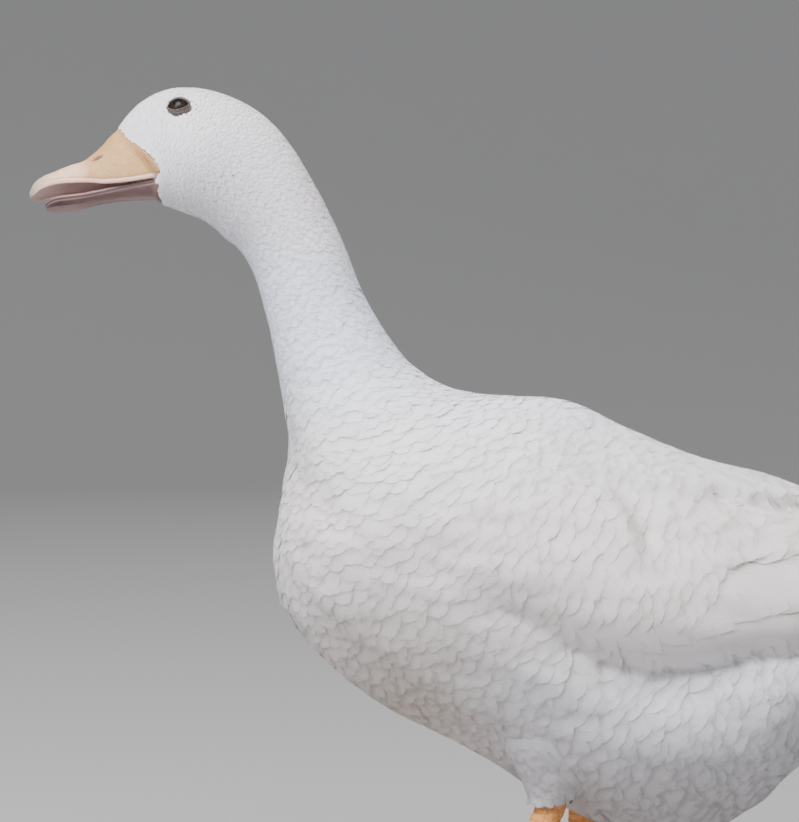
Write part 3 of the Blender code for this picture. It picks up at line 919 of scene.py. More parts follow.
def coat_colour(tree):
    """The coat's colour by place, the same for skin and feathers, with painted shade low down and painted
    light on the neck.
    """
    where = coordinates(tree)
    x, _, z = axes(tree, where)
    height = calculated(tree, "MULTIPLY_ADD", noise(tree, 9, 2, 0.5, where), 0.07, z)
    body = blend(tree, spread_of(tree, height, 0.205, 0.160), WARM_WHITE, CLEAN_WHITE)
    body = blend(tree, spread_of(tree, x, 0.10, 0.02), body, blend(tree, 0.35, body, WARM_WHITE))
    # painted shade: low on the body the white turns darker grey towards the belly
    body = blend(tree, spread_of(tree, height, 0.178, 0.118), body, PAINTED_BELLY_SHADE)
    # painted shade and reflected floor colour: low on the front of the breast the white turns brownish grey
    low, before = spread_of(tree, height, 0.225, 0.170), spread_of(tree, x, -0.02, -0.08)
    body = blend(tree, calculated(tree, "MULTIPLY", low, before), body, LOW_BREAST_PAINTED_SHADE)
    # the neck's whiter, bluer colour is partly painted light
    neck_and_head = blend(tree, spread_of(tree, height, 0.385, 0.425), NECK_WHITE_AND_PAINTED_LIGHT, HEAD_WHITE)
    colour = blend(tree, spread_of(tree, height, 0.265, 0.345), body, neck_and_head)
    smudge = spread_of(tree, noise(tree, 26, 4, 0.6, where), 0.56, 0.80)
    soiled = calculated(tree, "MULTIPLY", smudge, spread_of(tree, z, 0.22, 0.12))
    return blend(tree, calculated(tree, "MULTIPLY", soiled, 0.35), colour, DUST)


skin_material = bare_material("down_covered_skin", 0.85, sheen=0.1)
tree = skin_material.node_tree
lid_colour = ramp(tree, noise(tree, 700, 3), ((0.3, LID_DARK), (0.7, LID_GREY)))
link_colour(skin_material, blend(tree, attribute(tree, "bare"), coat_colour(tree), lid_colour))
link_bump(skin_material, noise(tree, 900, 3), 0.4, 0.0006)
print(skin_material.name + ":", len(tree.nodes), "nodes")


# %% The feather's own finish
def feather_finish(name, barbs):
    """White vane with barbs that slant out from the shaft, given how many lie along its length."""
    made = bare_material(name, 0.62, sheen=0.12, specular=0.3)
    tree = made.node_tree
    tone = attribute(tree, "tone")
    shade = ramp(tree, tone, ((0.0, (0.96, 0.955, 0.95)), (1.0, (1.0, 1.0, 1.0))), "LINEAR")
    link_colour(made, blend(tree, 1.0, coat_colour(tree), shade, "MULTIPLY"))
    across, along, _ = axes(tree, add_node(tree, "ShaderNodeUVMap", uv_map="vane").outputs["UV"])
    from_shaft = calculated(tree, "ABSOLUTE", calculated(tree, "SUBTRACT", across, 0.5))
    place = add_node(tree, "ShaderNodeCombineXYZ")
    tree.links.new(calculated(tree, "MULTIPLY_ADD", from_shaft, -0.55, along), place.inputs["X"])
    tree.links.new(tone, place.inputs["Y"])
    link_bump(made, noise(tree, barbs, 2, 0.6, place.outputs[0]), 0.35, 0.0006)
    return made


down_finish = feather_finish("small_feather", 14)
vane_finish = feather_finish("body_feather", 26)
quill_finish = feather_finish("wing_feather", 60)
print("feather finishes:", down_finish.name, vane_finish.name, quill_finish.name)


# %% [markdown]
# ## One skin
#
# Under the coat the duck has a single skin, from the edge of the bill to the stump of the tail, with the two
# thighs growing out of it. It is the form drawn in by the coat's depth: hardly a millimetre on the face, two
# on the neck and about five on the body. The tail and the ends of the wings are feathers only, so the skin
# stops short of them. Each thigh ends above the hock, where the bare leg goes into it. A Boolean union joins
# the thighs to the body and leaves no seam.

# %% Coat depth and skin
COAT_DEPTH = {
    "bill edge": 0.8, "cheek": 1.1, "nape": 1.8, "mid neck": 2.4, "crop": 3.6, "breast": 4.6, "back": 5.5,
    "tail root": 5.0, "tail tip": 2.0,
}  # fmt: skip
taper = fall(rib_at, RIB["tail fan"], RIB["tail fan"] - RIB["tail root"]) ** 0.5
skin_end = int(np.searchsorted(rib_at, RIB["tail fan"] - 0.02))
under_bill = 2.5 * np.clip(-BEHIND_LINE / 1.5 - 0.5, 0, 1) + 5 * rise(-BEHIND_LINE, 0, 12)
skin_reach = (outer_reach - by_rib(COAT_DEPTH, rib_at)[:, None] - under_bill) * taper[:, None]
skin_reach = averaged(np.maximum(skin_reach, 1.0), 2)
skin = pour("skin", *capped_tube(points_from(skin_reach)[:skin_end]), skin_material)
print("skin of the body:", len(skin.data.polygons), "faces")


# %% Sizes of the thighs
CUFF_RADIUS = np.array((12.6, 10.8))  # of the feathers over the hock, fore-and-aft and across
THIGH_RADIUS = np.array((56.0, 36.0))
THIGH_REACH = {"left": (29, -6, 50), "right": (13, -6, 58)}  # from the hock up to the middle of the thigh
THIGH_DEPTH = 2.6
BARE = 0.22  # share of that reach, above the hock, that is bare scaly leg


def hock_of(word):
    """The middle of the top of the shank."""
    places = np.array([v.co for v in nodes["shank_" + word].data.vertices]) / MM
    return places[places[:, 2] > places[:, 2].max() - 0.2].mean(axis=0)


# %% Thighs under the coat
def thigh_points(word, depth, rows, columns, first=0.0, last=1.0):
    """Level rings from the cuff up into the flank, drawn in by a depth."""
    reach = np.array(THIGH_REACH[word], float) * (1, SIDES[word], 1)
    share = np.linspace(first, last, rows)[:, None, None]
    turn = all_round(columns)[None, :, None]
    grown = rise(share, BARE, 1 - BARE)
    radii = CUFF_RADIUS + (THIGH_RADIUS - CUFF_RADIUS) * grown**1.1 - depth
    radii = radii * (1 + 1.6 * np.clip(share - BARE, -0.2, 0))
    x, y = radii[..., :1] * np.cos(turn), radii[..., 1:] * np.sin(turn)
    return hock_of(word) + reach * share + np.concatenate([x, y, 0 * turn * share], -1)


def apply_modifiers(thing, *helpers):
    """Keeps what the modifiers make as the mesh itself, and removes the helpers."""
    graph = bpy.context.evaluated_depsgraph_get()
    mesh = bpy.data.meshes.new_from_object(thing.evaluated_get(graph), depsgraph=graph)
    thing.modifiers.clear()
    old, thing.data = thing.data, mesh
    bpy.data.meshes.remove(old)
    for helper in helpers:
        bpy.data.objects.remove(helper)


def face_outward(thing):
    made = bmesh.new()
    made.from_mesh(thing.data)
    bmesh.ops.recalc_face_normals(made, faces=made.faces)
    made.to_mesh(thing.data)
    made.free()


thighs = []
for word in SIDES:
    rings = thigh_points(word, THIGH_DEPTH, 26, 64, BARE)
    thighs.append(pour("thigh_skin_" + word, *capped_tube(rings), skin_material))
    union = skin.modifiers.new("join_" + word, "BOOLEAN")
    union.operation = "UNION"
    union.solver = "EXACT"
    union.object = thighs[-1]
for thing in (skin, *thighs):
    face_outward(thing)
apply_modifiers(skin, *thighs)
skin.data.shade_smooth()
print("skin with thighs:", len(skin.data.polygons), "faces")


# %% [markdown]
# ## Eyelids
#
# A bird's lids are bare, a little wrinkled, and close round the ball like the edge of a purse. The lower one
# is the fuller. Each pair is a ring of skin that starts against the ball, rounds over its own edge, runs out
# through fine folds and sinks into the skin of the face. It is joined to the skin's mesh and shares its
# material, so that lids and skin are one piece.

# %% Lids joined to the skin
LID_TURNS = 120
LID_STEPS = (  # how far outside the opening, and how far over the ball's cover, in millimetres
    (0.0, -0.75), (-0.02, -0.45), (0.0, -0.15), (0.18, 0.06), (0.45, 0.12), (0.75, 0.05), (1.0, -0.14),
    (1.25, -0.16), (1.6, 0.10), (1.95, 0.14), (2.3, -0.08), (2.6, -0.10), (3.0, 0.06), (3.5, 0.04),
    (4.2, 0.0), (5.2, 0.0),
)  # fmt: skip
LIDS_END = LID_STEPS[-1][0]
BARE_TO, FEATHERED_FROM = 2.8, 4.2  # outside the opening
LID_OVER_BALL, FACE_DEPTH = 0.55, 1.0  # thickness over the ball, and depth of the skin under the coat
SHARPNESS = 1.6  # of the bend from the ball to the face


def lid_points(eye):
    turn = all_round(LID_TURNS)
    wrinkle = undulation(np.stack([np.cos(turn) * 6, np.sin(turn) * 6, turn * 0], -1), 1.6, 0.05, 9)
    rows = []
    for step, over in LID_STEPS:
        reach = opening(turn) + step * (1 + 0.25 * (np.sin(turn) > 0))
        b, u = reach * np.cos(turn), reach * np.sin(turn)
        ball = np.sqrt(np.maximum((EYE_RADIUS + LID_OVER_BALL) ** 2 - reach**2, 0.01))
        skin_level = eye.surface(b, u) - FACE_DEPTH
        cover = np.log(np.exp(ball * SHARPNESS) + np.exp(skin_level * SHARPNESS)) / SHARPNESS
        fade = fall(step, LIDS_END, 2.2)
        height = skin_level + (cover - skin_level) * fade + over + wrinkle * np.clip(step, 0, 1) * fade
        rows.append(eye.place(b, u, height))
    return np.stack(rows)


lids = []
bare = [fall(step, FEATHERED_FROM, FEATHERED_FROM - BARE_TO) for step, _ in LID_STEPS]
bare = {"bare": np.repeat(bare, LID_TURNS)}
for word, eye in EYES.items():
    faces = tube_faces(len(LID_STEPS), LID_TURNS)
    if word == "left":
        faces = faces[:, ::-1]
    lids.append(pour("lids_" + word, lid_points(eye).reshape(-1, 3), [faces], skin_material, values=bare))
skin.data.attributes.new("bare", "FLOAT", "POINT")
with bpy.context.temp_override(active_object=skin, selected_editable_objects=[skin, *lids]):
    bpy.ops.object.join()
print("skin with lids:", len(skin.data.polygons), "faces")


# %% [markdown]
# ## A feather as a pattern
#
# A contour feather is a thin vane: narrow and downy at its root, broad and blunt at its tip, slightly domed
# across, with a shaft down the middle and barbs whose ends stand free along the edge. It is drawn once as a
# flat pattern, in shares of its width and length, and laid on the body many times. The free barb ends are
# small triangles round the outer half of the edge. They give the coat its soft outline. Hairs would be finer,
# but they can't be handed on as solid mesh.

# %% Feather patterns
class Pattern:
    """Points (across from -1 to 1, along from 0 to 1) and faces of one feather, laid out flat."""

    def __init__(self, rows, columns, widths, round_tip, broadest, barbs, reach, seed, vane=1.0, slim=0.3):
        rng = np.random.default_rng(seed)
        (self.root_width, self.tip_width), self.broadest, self.vane = widths, broadest, vane
        along = vane * (1 - (1 - np.linspace(0, 1, rows)) ** 1.35)
        across = np.linspace(-1, 1, columns)
        grid_along = along[:, None] * (1 - round_tip * np.abs(across[None, :]) ** 2.2 * along[:, None] ** 2)
        grid_along[-1] += rng.uniform(-0.018, 0.012, columns)
        grid = np.stack([np.repeat(across[None, :], rows, axis=0), grid_along], -1)
        self.quads = np.roll(tube_faces(rows, columns, closed=False)[:, ::-1], 1, axis=1)
        half_way = rows // 2
        edge = np.concatenate([grid[half_way:-1, 0], grid[-1], grid[half_way:-1, -1][::-1]])
        lengths = summed(steps_along(edge * (1, 2)))
        ends = []
        for k in range(barbs):
            at = lengths[-1] * (k + 0.5 + rng.uniform(-0.3, 0.3)) / barbs
            half = slim * lengths[-1] / barbs
            base = np.stack([np.interp((at - half, at + half), lengths, edge[:, i]) for i in (0, 1)], -1)
            middle = (base[0] + base[1]) / 2
            long = reach * rng.uniform(0.6, 1.4)
            way = np.array((0.9 * middle[0] + rng.uniform(-0.5, 0.5), 0.75 + rng.uniform(-0.1, 0.1)))
            ends += [*base, middle + long * way]
        self.points = np.concatenate([grid.reshape(-1, 2), np.reshape(ends, (-1, 2))])
        self.tris = rows * columns + np.arange(3 * barbs).reshape(-1, 3)
        self.free = np.zeros(len(self.points))
        self.free[rows * columns + 2 :: 3] = 1

    def width(self, along):
        """Half-width at a share of the length, as a share of the greatest."""
        along = np.clip(along, 0, 1.1)
        past = np.clip((along - self.broadest) / (1 - self.broadest), 0, 1.2)
        widening = np.sin(rise(along, 0, self.broadest) * math.pi / 2)
        widening = self.root_width + (1 - self.root_width) * widening
        return np.minimum(widening, np.maximum(1 - (1 - self.tip_width) * past**2.0, 0.02))


# %% Six kinds of feather
# Rows, columns, widths of root and tip, roundness of the tip, broadest place, barbs, how long they are, seed,
# the share of the length that is closed vane, and how slim a barb's end is.
tiny = Pattern(4, 3, (0.35, 0.28), 0.35, 0.45, 8, 0.34, 11, 0.78, 0.20)
slim = Pattern(5, 5, (0.35, 0.26), 0.32, 0.48, 20, 0.32, 12, 0.80, 0.16)
broad = Pattern(7, 7, (0.30, 0.44), 0.38, 0.52, 52, 0.24, 13, 0.81, 0.15)
quill = Pattern(12, 7, (0.45, 0.50), 0.13, 0.55, 0, 0, 51)
pointed = Pattern(12, 7, (0.55, 0.25), 0.12, 0.40, 0, 0, 52)
covert = Pattern(8, 7, (0.35, 0.55), 0.24, 0.60, 24, 0.08, 53, 0.93, 0.15)
print("points of a feather:", [len(made.points) for made in (tiny, slim, broad, quill, pointed, covert)])


# %% [markdown]
# ## Laying feathers on the form
#
# Each feather starts at its root just above the skin and runs back along the coat, following the curve of the
# body, until its tip lies at the outer surface. Because it rises all the way, a feather's tip always covers
# the roots of those behind it, like slates on a roof. The rise is steepest at the root, so that the part that
# shows lies almost flat, and the last of the tip is pressed down on to the next feather.

# %% Shafts
RACHIS_STEPS = 7


def run_back(form, row, column, length, turn, curve=0.0):
    """Places along each feather's shaft, walked over the form from its root."""
    places = [np.stack([row, column], -1)]
    stride = length / (RACHIS_STEPS - 1)
    for k in range(RACHIS_STEPS - 1):
        r, c = places[-1][:, 0], places[-1][:, 1]
        way = form.lie(r, c, turn + curve * k / RACHIS_STEPS) * stride[:, None]
        dr, dc = form.step(r, c, way)
        places.append(np.stack([r + dr, c + dc], -1))
    return np.stack(places, axis=1)


def run_between(roots, tips, bow=0.0):
    """Places along each feather's shaft from its root to its tip, bowed sideways in the middle."""
    share = np.linspace(0, 1, RACHIS_STEPS)[None, :, None]
    line = roots[:, None] * (1 - share) + tips[:, None] * share
    line[..., 1] += bow * np.sin(math.pi * share[..., 0])
    return line


def between_steps(values, along):
    """Values at the shaft's steps, read for each pattern point. values is feathers x steps x any."""
    at = np.clip(along, 0, 1) * (RACHIS_STEPS - 1)
    i = np.clip(np.floor(at).astype(int), 0, RACHIS_STEPS - 2)
    s = (at - i)[None, :, None]
    beyond = (np.clip(along, 1, 1.3) - 1)[None, :, None] * (RACHIS_STEPS - 1)
    return values[:, i] * (1 - s) + values[:, i + 1] * s + beyond * (values[:, -1:] - values[:, -2:-1])


def bell(rng, count, spread, limit=2.5):
    return np.clip(rng.normal(size=count), -limit, limit) * spread


# %% Lay a tract of feathers
DOME = 0.02  # how far a feather's sides curl down, as a share of its half-width
SHAFT_RIDGE = 0.02  # how high the shaft stands, as a share of the half-width too
PATCH = 0.003  # size of one feather on the OFBake map


def column_of(values):
    """Numbers one below another, so that each goes with one feather."""
    return np.asarray(values, float).reshape(-1, 1)


def lay(form, shafts, half, pattern, rng, depth, lift, settle=2.2, over=0.0, dome=DOME, flat=False, tuck=0.3):
    """Points, faces and maps of a tract of feathers. All lengths in millimetres."""
    count = len(shafts)
    roll = 0.0 if flat else bell(rng, count, 0.01)
    tone = rng.uniform(0, 1, count)
    half, depth, lift, roll = (column_of(v) for v in (half, depth, lift, roll))
    across, along = pattern.points[:, 0], pattern.points[:, 1]
    row, column = shafts[..., 0], shafts[..., 1]
    way = unit(np.gradient(form.place(row, column), axis=1))
    side_steps = form.step(row, column, np.cross(way, form.outward(row, column)))
    width = pattern.width(along)
    sideways = across * width * half
    at = between_steps(shafts, along)
    r, c = (at[..., i] + between_steps(side_steps[i][..., None], along)[..., 0] * sideways for i in (0, 1))
    opened = np.clip(along * 2, 0, 1)
    sink = depth * np.clip(1 - along, 0, 1) ** settle
    lifted = lift * np.clip(along, 0, 1.2) ** 3
    domed = dome * half * (across**2 * opened)
    at_tip = np.clip((along - pattern.vane + 0.15) / 0.15, 0, 1.2) ** 2
    pressed = tuck * (at_tip + 0.7 * np.abs(across) ** 5 * opened) * (1 - 1.3 * pattern.free)
    shaft_ridge = SHAFT_RIDGE * half * ridge(across, 0, 0.12)
    out = form.outward(r, c)
    offset = over + lifted - sink - domed - pressed + shaft_ridge + roll * sideways
    size = len(across)
    base = (np.arange(count) * size)[:, None, None]
    root = np.stack([column[:, 0] / form.points.shape[1] % 1.0, row[:, 0] / form.points.shape[0]], -1)
    return {
        "count": count,
        "points": (form.place(r, c) + out * offset[..., None]).reshape(-1, 3),
        "out": out.reshape(-1, 3),
        "quads": (pattern.quads[None] + base).reshape(-1, 4),
        "tris": (pattern.tris[None] + base).reshape(-1, 3),
        "root": np.repeat(root, size, axis=0),
        "patch": np.tile(np.stack([across * PATCH / 2, (along - 0.5) * PATCH], -1), (count, 1)),
        "vane": np.tile(np.stack([0.5 + 0.5 * across * width, along], -1), (count, 1)),
        "tone": np.repeat(tone, size),
    }


# %% Pieces of the coat
OWN_SHADING = 0.18  # the rest of a feather's shading is that of the body under it, as light filters through


def coat_piece(name, tracts, material, own_share=OWN_SHADING):
    """One object from several tracts, with its bake map stretched to fill the square."""
    starts = summed([len(tract["points"]) for tract in tracts])
    quads, tris = (np.concatenate([t[k] + s for t, s in zip(tracts, starts)]) for k in ("quads", "tris"))
    kinds = ("points", "out", "root", "patch", "vane", "tone")
    joined = {kind: np.concatenate([tract[kind] for tract in tracts]) for kind in kinds}
    low, high = joined["root"].min(axis=0), joined["root"].max(axis=0)
    bake = 0.01 + 0.98 * (joined["root"] - low) / np.maximum(high - low, 1e-6)
    maps = {"OFBake": np.clip(bake, 0.01, 0.99) + joined["patch"], "vane": joined["vane"]}
    tone = {"tone": joined["tone"]}
    made = pour(name, joined["points"], [quads, tris], material, maps, tone, joined["out"], own_share)
    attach(made, "root")
    print(name + ":", sum(t["count"] for t in tracts), "feathers,", 2 * len(quads) + len(tris), "triangles")
    return made


# %% [markdown]
# ## Where the roots stand
#
# Body feathers grow close together and never on top of one another. Roots are dropped on the form at random,
# and each is kept only if no other stands nearer than the spacing of that part. This gives an even scatter
# without rows, which suits loose white plumage. Feathers on the wing do stand in rows and are laid that way.

# %% Scatter roots
def scatter(form, share, spacing, seed):
    """Rows and columns of roots, spacing apart, where share is above a random number, and more chance."""
    rng = np.random.default_rng(seed)
    area = np.linalg.norm(np.cross(form.by_row, form.by_column), axis=-1)
    spacing = np.broadcast_to(spacing, area.shape)
    weight = np.where(share > 0.01, area / spacing**2, 0)
    weight[-1] = 0
    tries = int(weight.sum() * 5)
    picks = rng.choice(weight.size, tries, p=(weight / weight.sum()).ravel())
    row = picks // area.shape[1] + rng.uniform(0, 1, tries)
    column = picks % area.shape[1] + rng.uniform(0, 1, tries)
    places = form.place(row, column)
    limits = form.read(spacing, row, column) ** 2
    wanted = form.read(share, row, column) > rng.uniform(0, 1, tries)
    keys = np.floor(places / float(spacing[share > 0.01].max())).astype(int).tolist()
    boxes, kept = {}, []
    for n in np.flatnonzero(wanted):
        x, y, z = places[n]
        near = (spot for key in product(*((k - 1, k, k + 1) for k in keys[n])) for spot in boxes.get(key, ()))
        if all((px - x) ** 2 + (py - y) ** 2 + (pz - z) ** 2 >= limits[n] for px, py, pz in near):
            boxes.setdefault(tuple(keys[n]), []).append((x, y, z))
            kept.append(n)
    return row[kept], column[kept], np.random.default_rng(seed + 1)


# %% Where each coat grows
rib_grid = np.repeat(rib_at[:, None], COLUMNS, axis=1)
angle_grid = np.repeat(column_angle[None, :], ROWS, axis=0)
off_wing = ~(on_wing & shifted(on_wing, -6) & shifted(on_wing, 0, 5) & shifted(on_wing, 0, -5))
form_spots = body_form.points


def between(first, last):
    """The part of the form from one rib to before another."""
    return (rib_grid >= first) & (rib_grid < last)


def on_lids(points):
    """Where the lids are bare, and a little way before them, so that no feather hangs over the eye."""
    found = np.zeros(points.shape[:-1], bool)
    for eye in EYES.values():
        b, u, h = eye.split(points)
        edge = opening(np.arctan2(u, b)) + 2.1 + 1.2 * rise(-b, 0, 6)
        found |= (np.hypot(b, u) < edge) & (h > 0)
    return found


def round_the_eyes(points):
    """Degrees that the small feathers turn to part round the eye, and how much shorter they are there."""
    turn, shorter = np.zeros(points.shape[:-1]), np.ones(points.shape[:-1])
    for word, eye in EYES.items():
        b, u, h = eye.split(points)
        close = np.exp(-((np.maximum(np.hypot(b, u) - 6, 0) / 5) ** 2)) * (h > -2)
        part = np.where(b < 2, 1.0, -0.5) * close * np.clip(u / 2.5, -1, 1) * ridge(u, 0, 9)
        turn = turn + np.degrees(np.arctan(1.5 * part)) * SIDES[word]
        shorter = shorter - 0.45 * close
    return turn, shorter


EYE_TURN, EYE_SHORTER = round_the_eyes(form_spots)
CLUMP_TURN = EYE_TURN + undulation(form_spots, 34, 7.0, 5)  # feathers lean together in clumps, in degrees
CLUMP_LIFT = np.clip(undulation(form_spots, 26, 1.0, 6) - 0.4, 0, 1.6)  # and stand off together
print("points where the coat clings:", int((CLUMP_LIFT == 0).sum()), "of", CLUMP_LIFT.size)


# %% Sizes along the body
LENGTH = {
    "bill edge": 3.2, "cheek": 4.6, "occiput": 6.5, "throat": 9, "mid neck": 12, "neck base": 15, "crop": 18,
    "breast": 22, "shoulder": 25, "thigh": 27, "rump": 29, "tail base": 30, "tail tip": 24,
}  # fmt: skip
HALF_WIDTH = {
    "bill edge": 1.1, "cheek": 1.5, "occiput": 1.9, "throat": 2.3, "mid neck": 2.8, "neck base": 3.8,
    "crop": 5.2, "breast": 6.6, "shoulder": 7.6, "thigh": 8.2, "tail tip": 8,
}  # fmt: skip
SPACING = {
    "bill edge": 1.05, "cheek": 1.35, "occiput": 1.7, "throat": 2.0, "mid neck": 2.4, "neck base": 3.1,
    "crop": 4.0, "breast": 4.9, "shoulder": 5.6, "thigh": 6.0, "tail tip": 6.0,
}  # fmt: skip
length_at, half_at, spacing_at = (by_rib(t, rib_grid) for t in (LENGTH, HALF_WIDTH, SPACING))
by_bill = 1 - 0.35 * fall(BEHIND_LINE, 4, 4) * (rib_grid < RIB["occiput"])
spacing_at *= by_bill
length_at *= by_bill


def body_tract(share, seed, pattern, turn=None, tip_lift=0.25, ruffle=0.15, longer=1.0, closer=1.0, tuck=0.3):
    """Feathers of the body where share allows, sized by where along the body they stand."""
    row, column, rng = scatter(body_form, share, spacing_at / closer, seed)
    count = len(row)
    length = body_form.read(length_at * EYE_SHORTER, row, column) * longer * (1 + bell(rng, count, 0.10))
    half = body_form.read(half_at, row, column) * (1 + bell(rng, count, 0.08))
    depth = by_rib(COAT_DEPTH, np.interp(row, np.arange(ROWS), rib_at)) * 0.85
    depth = depth * np.clip(body_form.read(BEHIND_LINE, row, column) / 2.5, 0.25, 1)
    lean = turn(row, column) if turn else 0.0
    lean = lean + body_form.read(CLUMP_TURN, row, column) + bell(rng, count, 8)
    shafts = run_back(body_form, row, column, length, lean, bell(rng, count, 5))
    loose = body_form.read(CLUMP_LIFT, row, column) + np.abs(bell(rng, count, 0.5))
    lift = (tip_lift + ruffle * loose) * half / 6
    return lay(body_form, shafts, half, pattern, rng, depth, lift, settle=2.4, tuck=tuck * depth[:, None] / 4)


# %% [markdown]
# ## Head and neck
#
# On the face the feathers are hardly longer than a grain of rice and lie like velvet. They grow longer down
# the neck, where they are narrow and a little loose, so that the outline of the neck looks brushed. None grow
# on the eyelids or on the bill.

# %% Head and neck coat
head_share = between(0, RIB["nape"]) & ~on_lids(form_spots) & (BEHIND_LINE > -0.7)
neck_share = between(RIB["nape"], RIB["neck base"])
tract = body_tract(head_share * 1.0, 21, tiny, tip_lift=0.03, ruffle=0.05, closer=1.15, tuck=0.12)
coat_piece("coat_head", [tract], down_finish, own_share=0.06)
tract = body_tract(neck_share * 1.0, 22, slim, tip_lift=0.08, ruffle=0.30, closer=1.3, tuck=0.16)
coat_piece("coat_neck", [tract], down_finish, own_share=0.12)


# %% [markdown]
# ## Breast, back, sides and belly
#
# The broad feathers of the body are split into a few pieces to keep each mesh light. The side feathers sweep
# upwards a little as they run back, and swell out under the wing.

# %% Body coat
on_breast = between(RIB["neck base"], RIB["shoulder"]) & off_wing
behind_breast = between(RIB["shoulder"], RIB["tail root"] + 0.3) & off_wing
on_back = (angle_grid > 35) & (angle_grid < 145)
on_left = (angle_grid >= 145) & (angle_grid < 270)
FLANK_LEFT, FLANK_RIGHT, SWEEP = 205, 335, 14  # degrees
BODY_COAT = (  # name, where and seed
    ("coat_breast_left", on_breast & (form_spots[..., 1] < 0), 31),
    ("coat_breast_right", on_breast & (form_spots[..., 1] >= 0), 32),
    ("coat_back", behind_breast & on_back, 33),
    ("coat_side_left", behind_breast & on_left, 34),
    ("coat_side_right", behind_breast & ~on_back & ~on_left, 35),
)


def sweep_up(row, column):
    """Side feathers turn up towards the wing as they run back, and those of the belly don't."""
    angle = column / COLUMNS * 360 % 360
    left = np.exp(-(((angle - FLANK_LEFT) / 28) ** 2))
    right = np.exp(-((((angle - FLANK_RIGHT + 180) % 360 - 180) / 28) ** 2))
    return SWEEP * (right - left)


for name, where, seed in BODY_COAT:
    tract = body_tract(where * 1.0, seed, broad, sweep_up, tip_lift=0.06, ruffle=0.12, closer=1.25, tuck=0.20)
    coat_piece(name, [tract], vane_finish)


# %% Thigh coat
THIGH_ROWS, THIGH_COLUMNS = 48, 96


def thigh_tract(word, seed):
    form = Form(thigh_points(word, 0.0, THIGH_ROWS, THIGH_COLUMNS, BARE - 0.08)[::-1])
    trunk = tree_of(("trunk",))
    outside = np.zeros((THIGH_ROWS, THIGH_COLUMNS))
    for spot in np.ndindex(outside.shape):
        place = Vector(form.points[spot])
        met, normal, _, away = trunk.find_nearest(place)
        outside[spot] = away < 2.0 or (place - met).dot(normal) > 0
    outside = np.maximum.reduce([np.roll(outside, -k, axis=0) for k in range(9)])  # first rows in the flank
    outside[-4:] = 0
    row, column, rng = scatter(form, outside, 3.0, seed)
    count, last = len(row), THIGH_ROWS - 1
    length = np.interp(row, [0, last], [18, 10]) * (1 + bell(rng, count, 0.12))
    length = np.minimum(length, 0.95 * (last - row) + rng.uniform(0, 1, count))
    half = np.interp(row, [0, last], [4.2, 2.6])
    shafts = run_back(form, row, column, length, bell(rng, count, 8))
    return lay(form, shafts, half, slim, rng, 2.2, 0.12)


coat_piece("coat_thighs", [thigh_tract("left", 41), thigh_tract("right", 42)], vane_finish)


# %% [markdown]
# ## The folded wing
#
# A wing's feathers stand in ordered rows. From the front edge back come the small coverts, the middle and the
# great coverts, then the flight feathers, folded into a fan under the broad tertials, while the long shoulder
# feathers hang over all of it from above. Each row is given by where its first and its last feather start and
# end, as shares of the wing's length and height. The rest of the row falls evenly between them. The small
# coverts and the shoulder feathers are scattered instead, since their rows can't be told apart from outside.

# %% Rows of the wing
# The primaries, secondaries, great coverts, tertials and middle coverts. Each has its pattern, count, first
# root, last root, first tip, last tip, first and last half-width, depth, lift and level.
WING_TRACTS = (
    (pointed, 7, (0.52, 0.30), (0.60, 0.62), (0.90, 0.36), (1.02, 0.50), (7, 7), 5.5, 0.15, -0.6),
    (quill, 12, (0.16, 0.16), (0.54, 0.44), (0.52, 0.03), (0.92, 0.30), (9, 9), 4.6, 0.10, -0.5),
    (covert, 15, (0.10, 0.30), (0.50, 0.62), (0.36, 0.05), (0.80, 0.34), (9.5, 10), 3.8, 0.08, -0.35),
    (quill, 6, (0.34, 0.60), (0.34, 0.84), (0.88, 0.55), (0.84, 0.86), (13, 13), 5.2, 0.10, -0.1),
    (covert, 18, (0.05, 0.38), (0.42, 0.74), (0.20, 0.14), (0.62, 0.56), (9, 9.5), 3.2, 0.08, -0.2),
)
LAST_LIES_HIGHER = 0.12  # over the first of its row


def wing_row(tract, side, seed):
    pattern, count, root_a, root_b, tip_a, tip_b, halves, depth, lift, over = tract
    rng = np.random.default_rng(seed)
    share = np.linspace(0, 1, count)[:, None]
    jitter = rng.normal(size=(count, 2)) * (0.004, 0.008)
    roots = np.array(root_a) * (1 - share) + np.array(root_b) * share + jitter
    tips = np.array(tip_a) * (1 - share) + np.array(tip_b) * share + jitter
    tips = tips + rng.normal(size=(count, 2)) * (0.005, 0.006)
    roots, tips = (np.stack(wing_place(p[:, 0], p[:, 1], side), -1) for p in (roots, tips))
    shafts = run_between(roots, tips, side * -0.8)
    half = halves[0] * (1 - share[:, 0]) + halves[1] * share[:, 0]
    return lay(body_form, shafts, half, pattern, rng, depth, lift, over=over + share * LAST_LIES_HIGHER)


# %% Small coverts and shoulder feathers
def angle_from(side):
    """The angle round the form as it is on the left, for either side."""
    return angle_grid if side < 0 else (180 - angle_grid) % 360


def covert_tract(side, seed):
    """The small coverts, close-set over the front of the wing."""
    rows = np.arange(ROWS)[:, None] + 0 * angle_grid
    along = (rows - WING_ROWS[0]) / (len(WING_ROWS) - 1)
    low, high = (np.interp(rows, WING_ROWS, edge) for edge in (WING_LOW, WING_HIGH))
    up = (angle_from(side) - low) / (high - low)
    inside = (along > -0.02) & (along < 0.42) & (up > 0.03) & (up < 1.0) & (up > 0.30 * (along - 0.12) / 0.3)
    row, column, rng = scatter(body_form, inside * 1.0, 5.4, seed)
    count = len(row)
    length = (20 + 10 * rise(row, WING_ROWS[0], len(WING_ROWS))) * (1 + bell(rng, count, 0.08))
    shafts = run_back(body_form, row, column, length, side * -8 + bell(rng, count, 5))
    return lay(body_form, shafts, np.full(count, 7.4), broad, rng, 3.4, 0.05, settle=2.4)


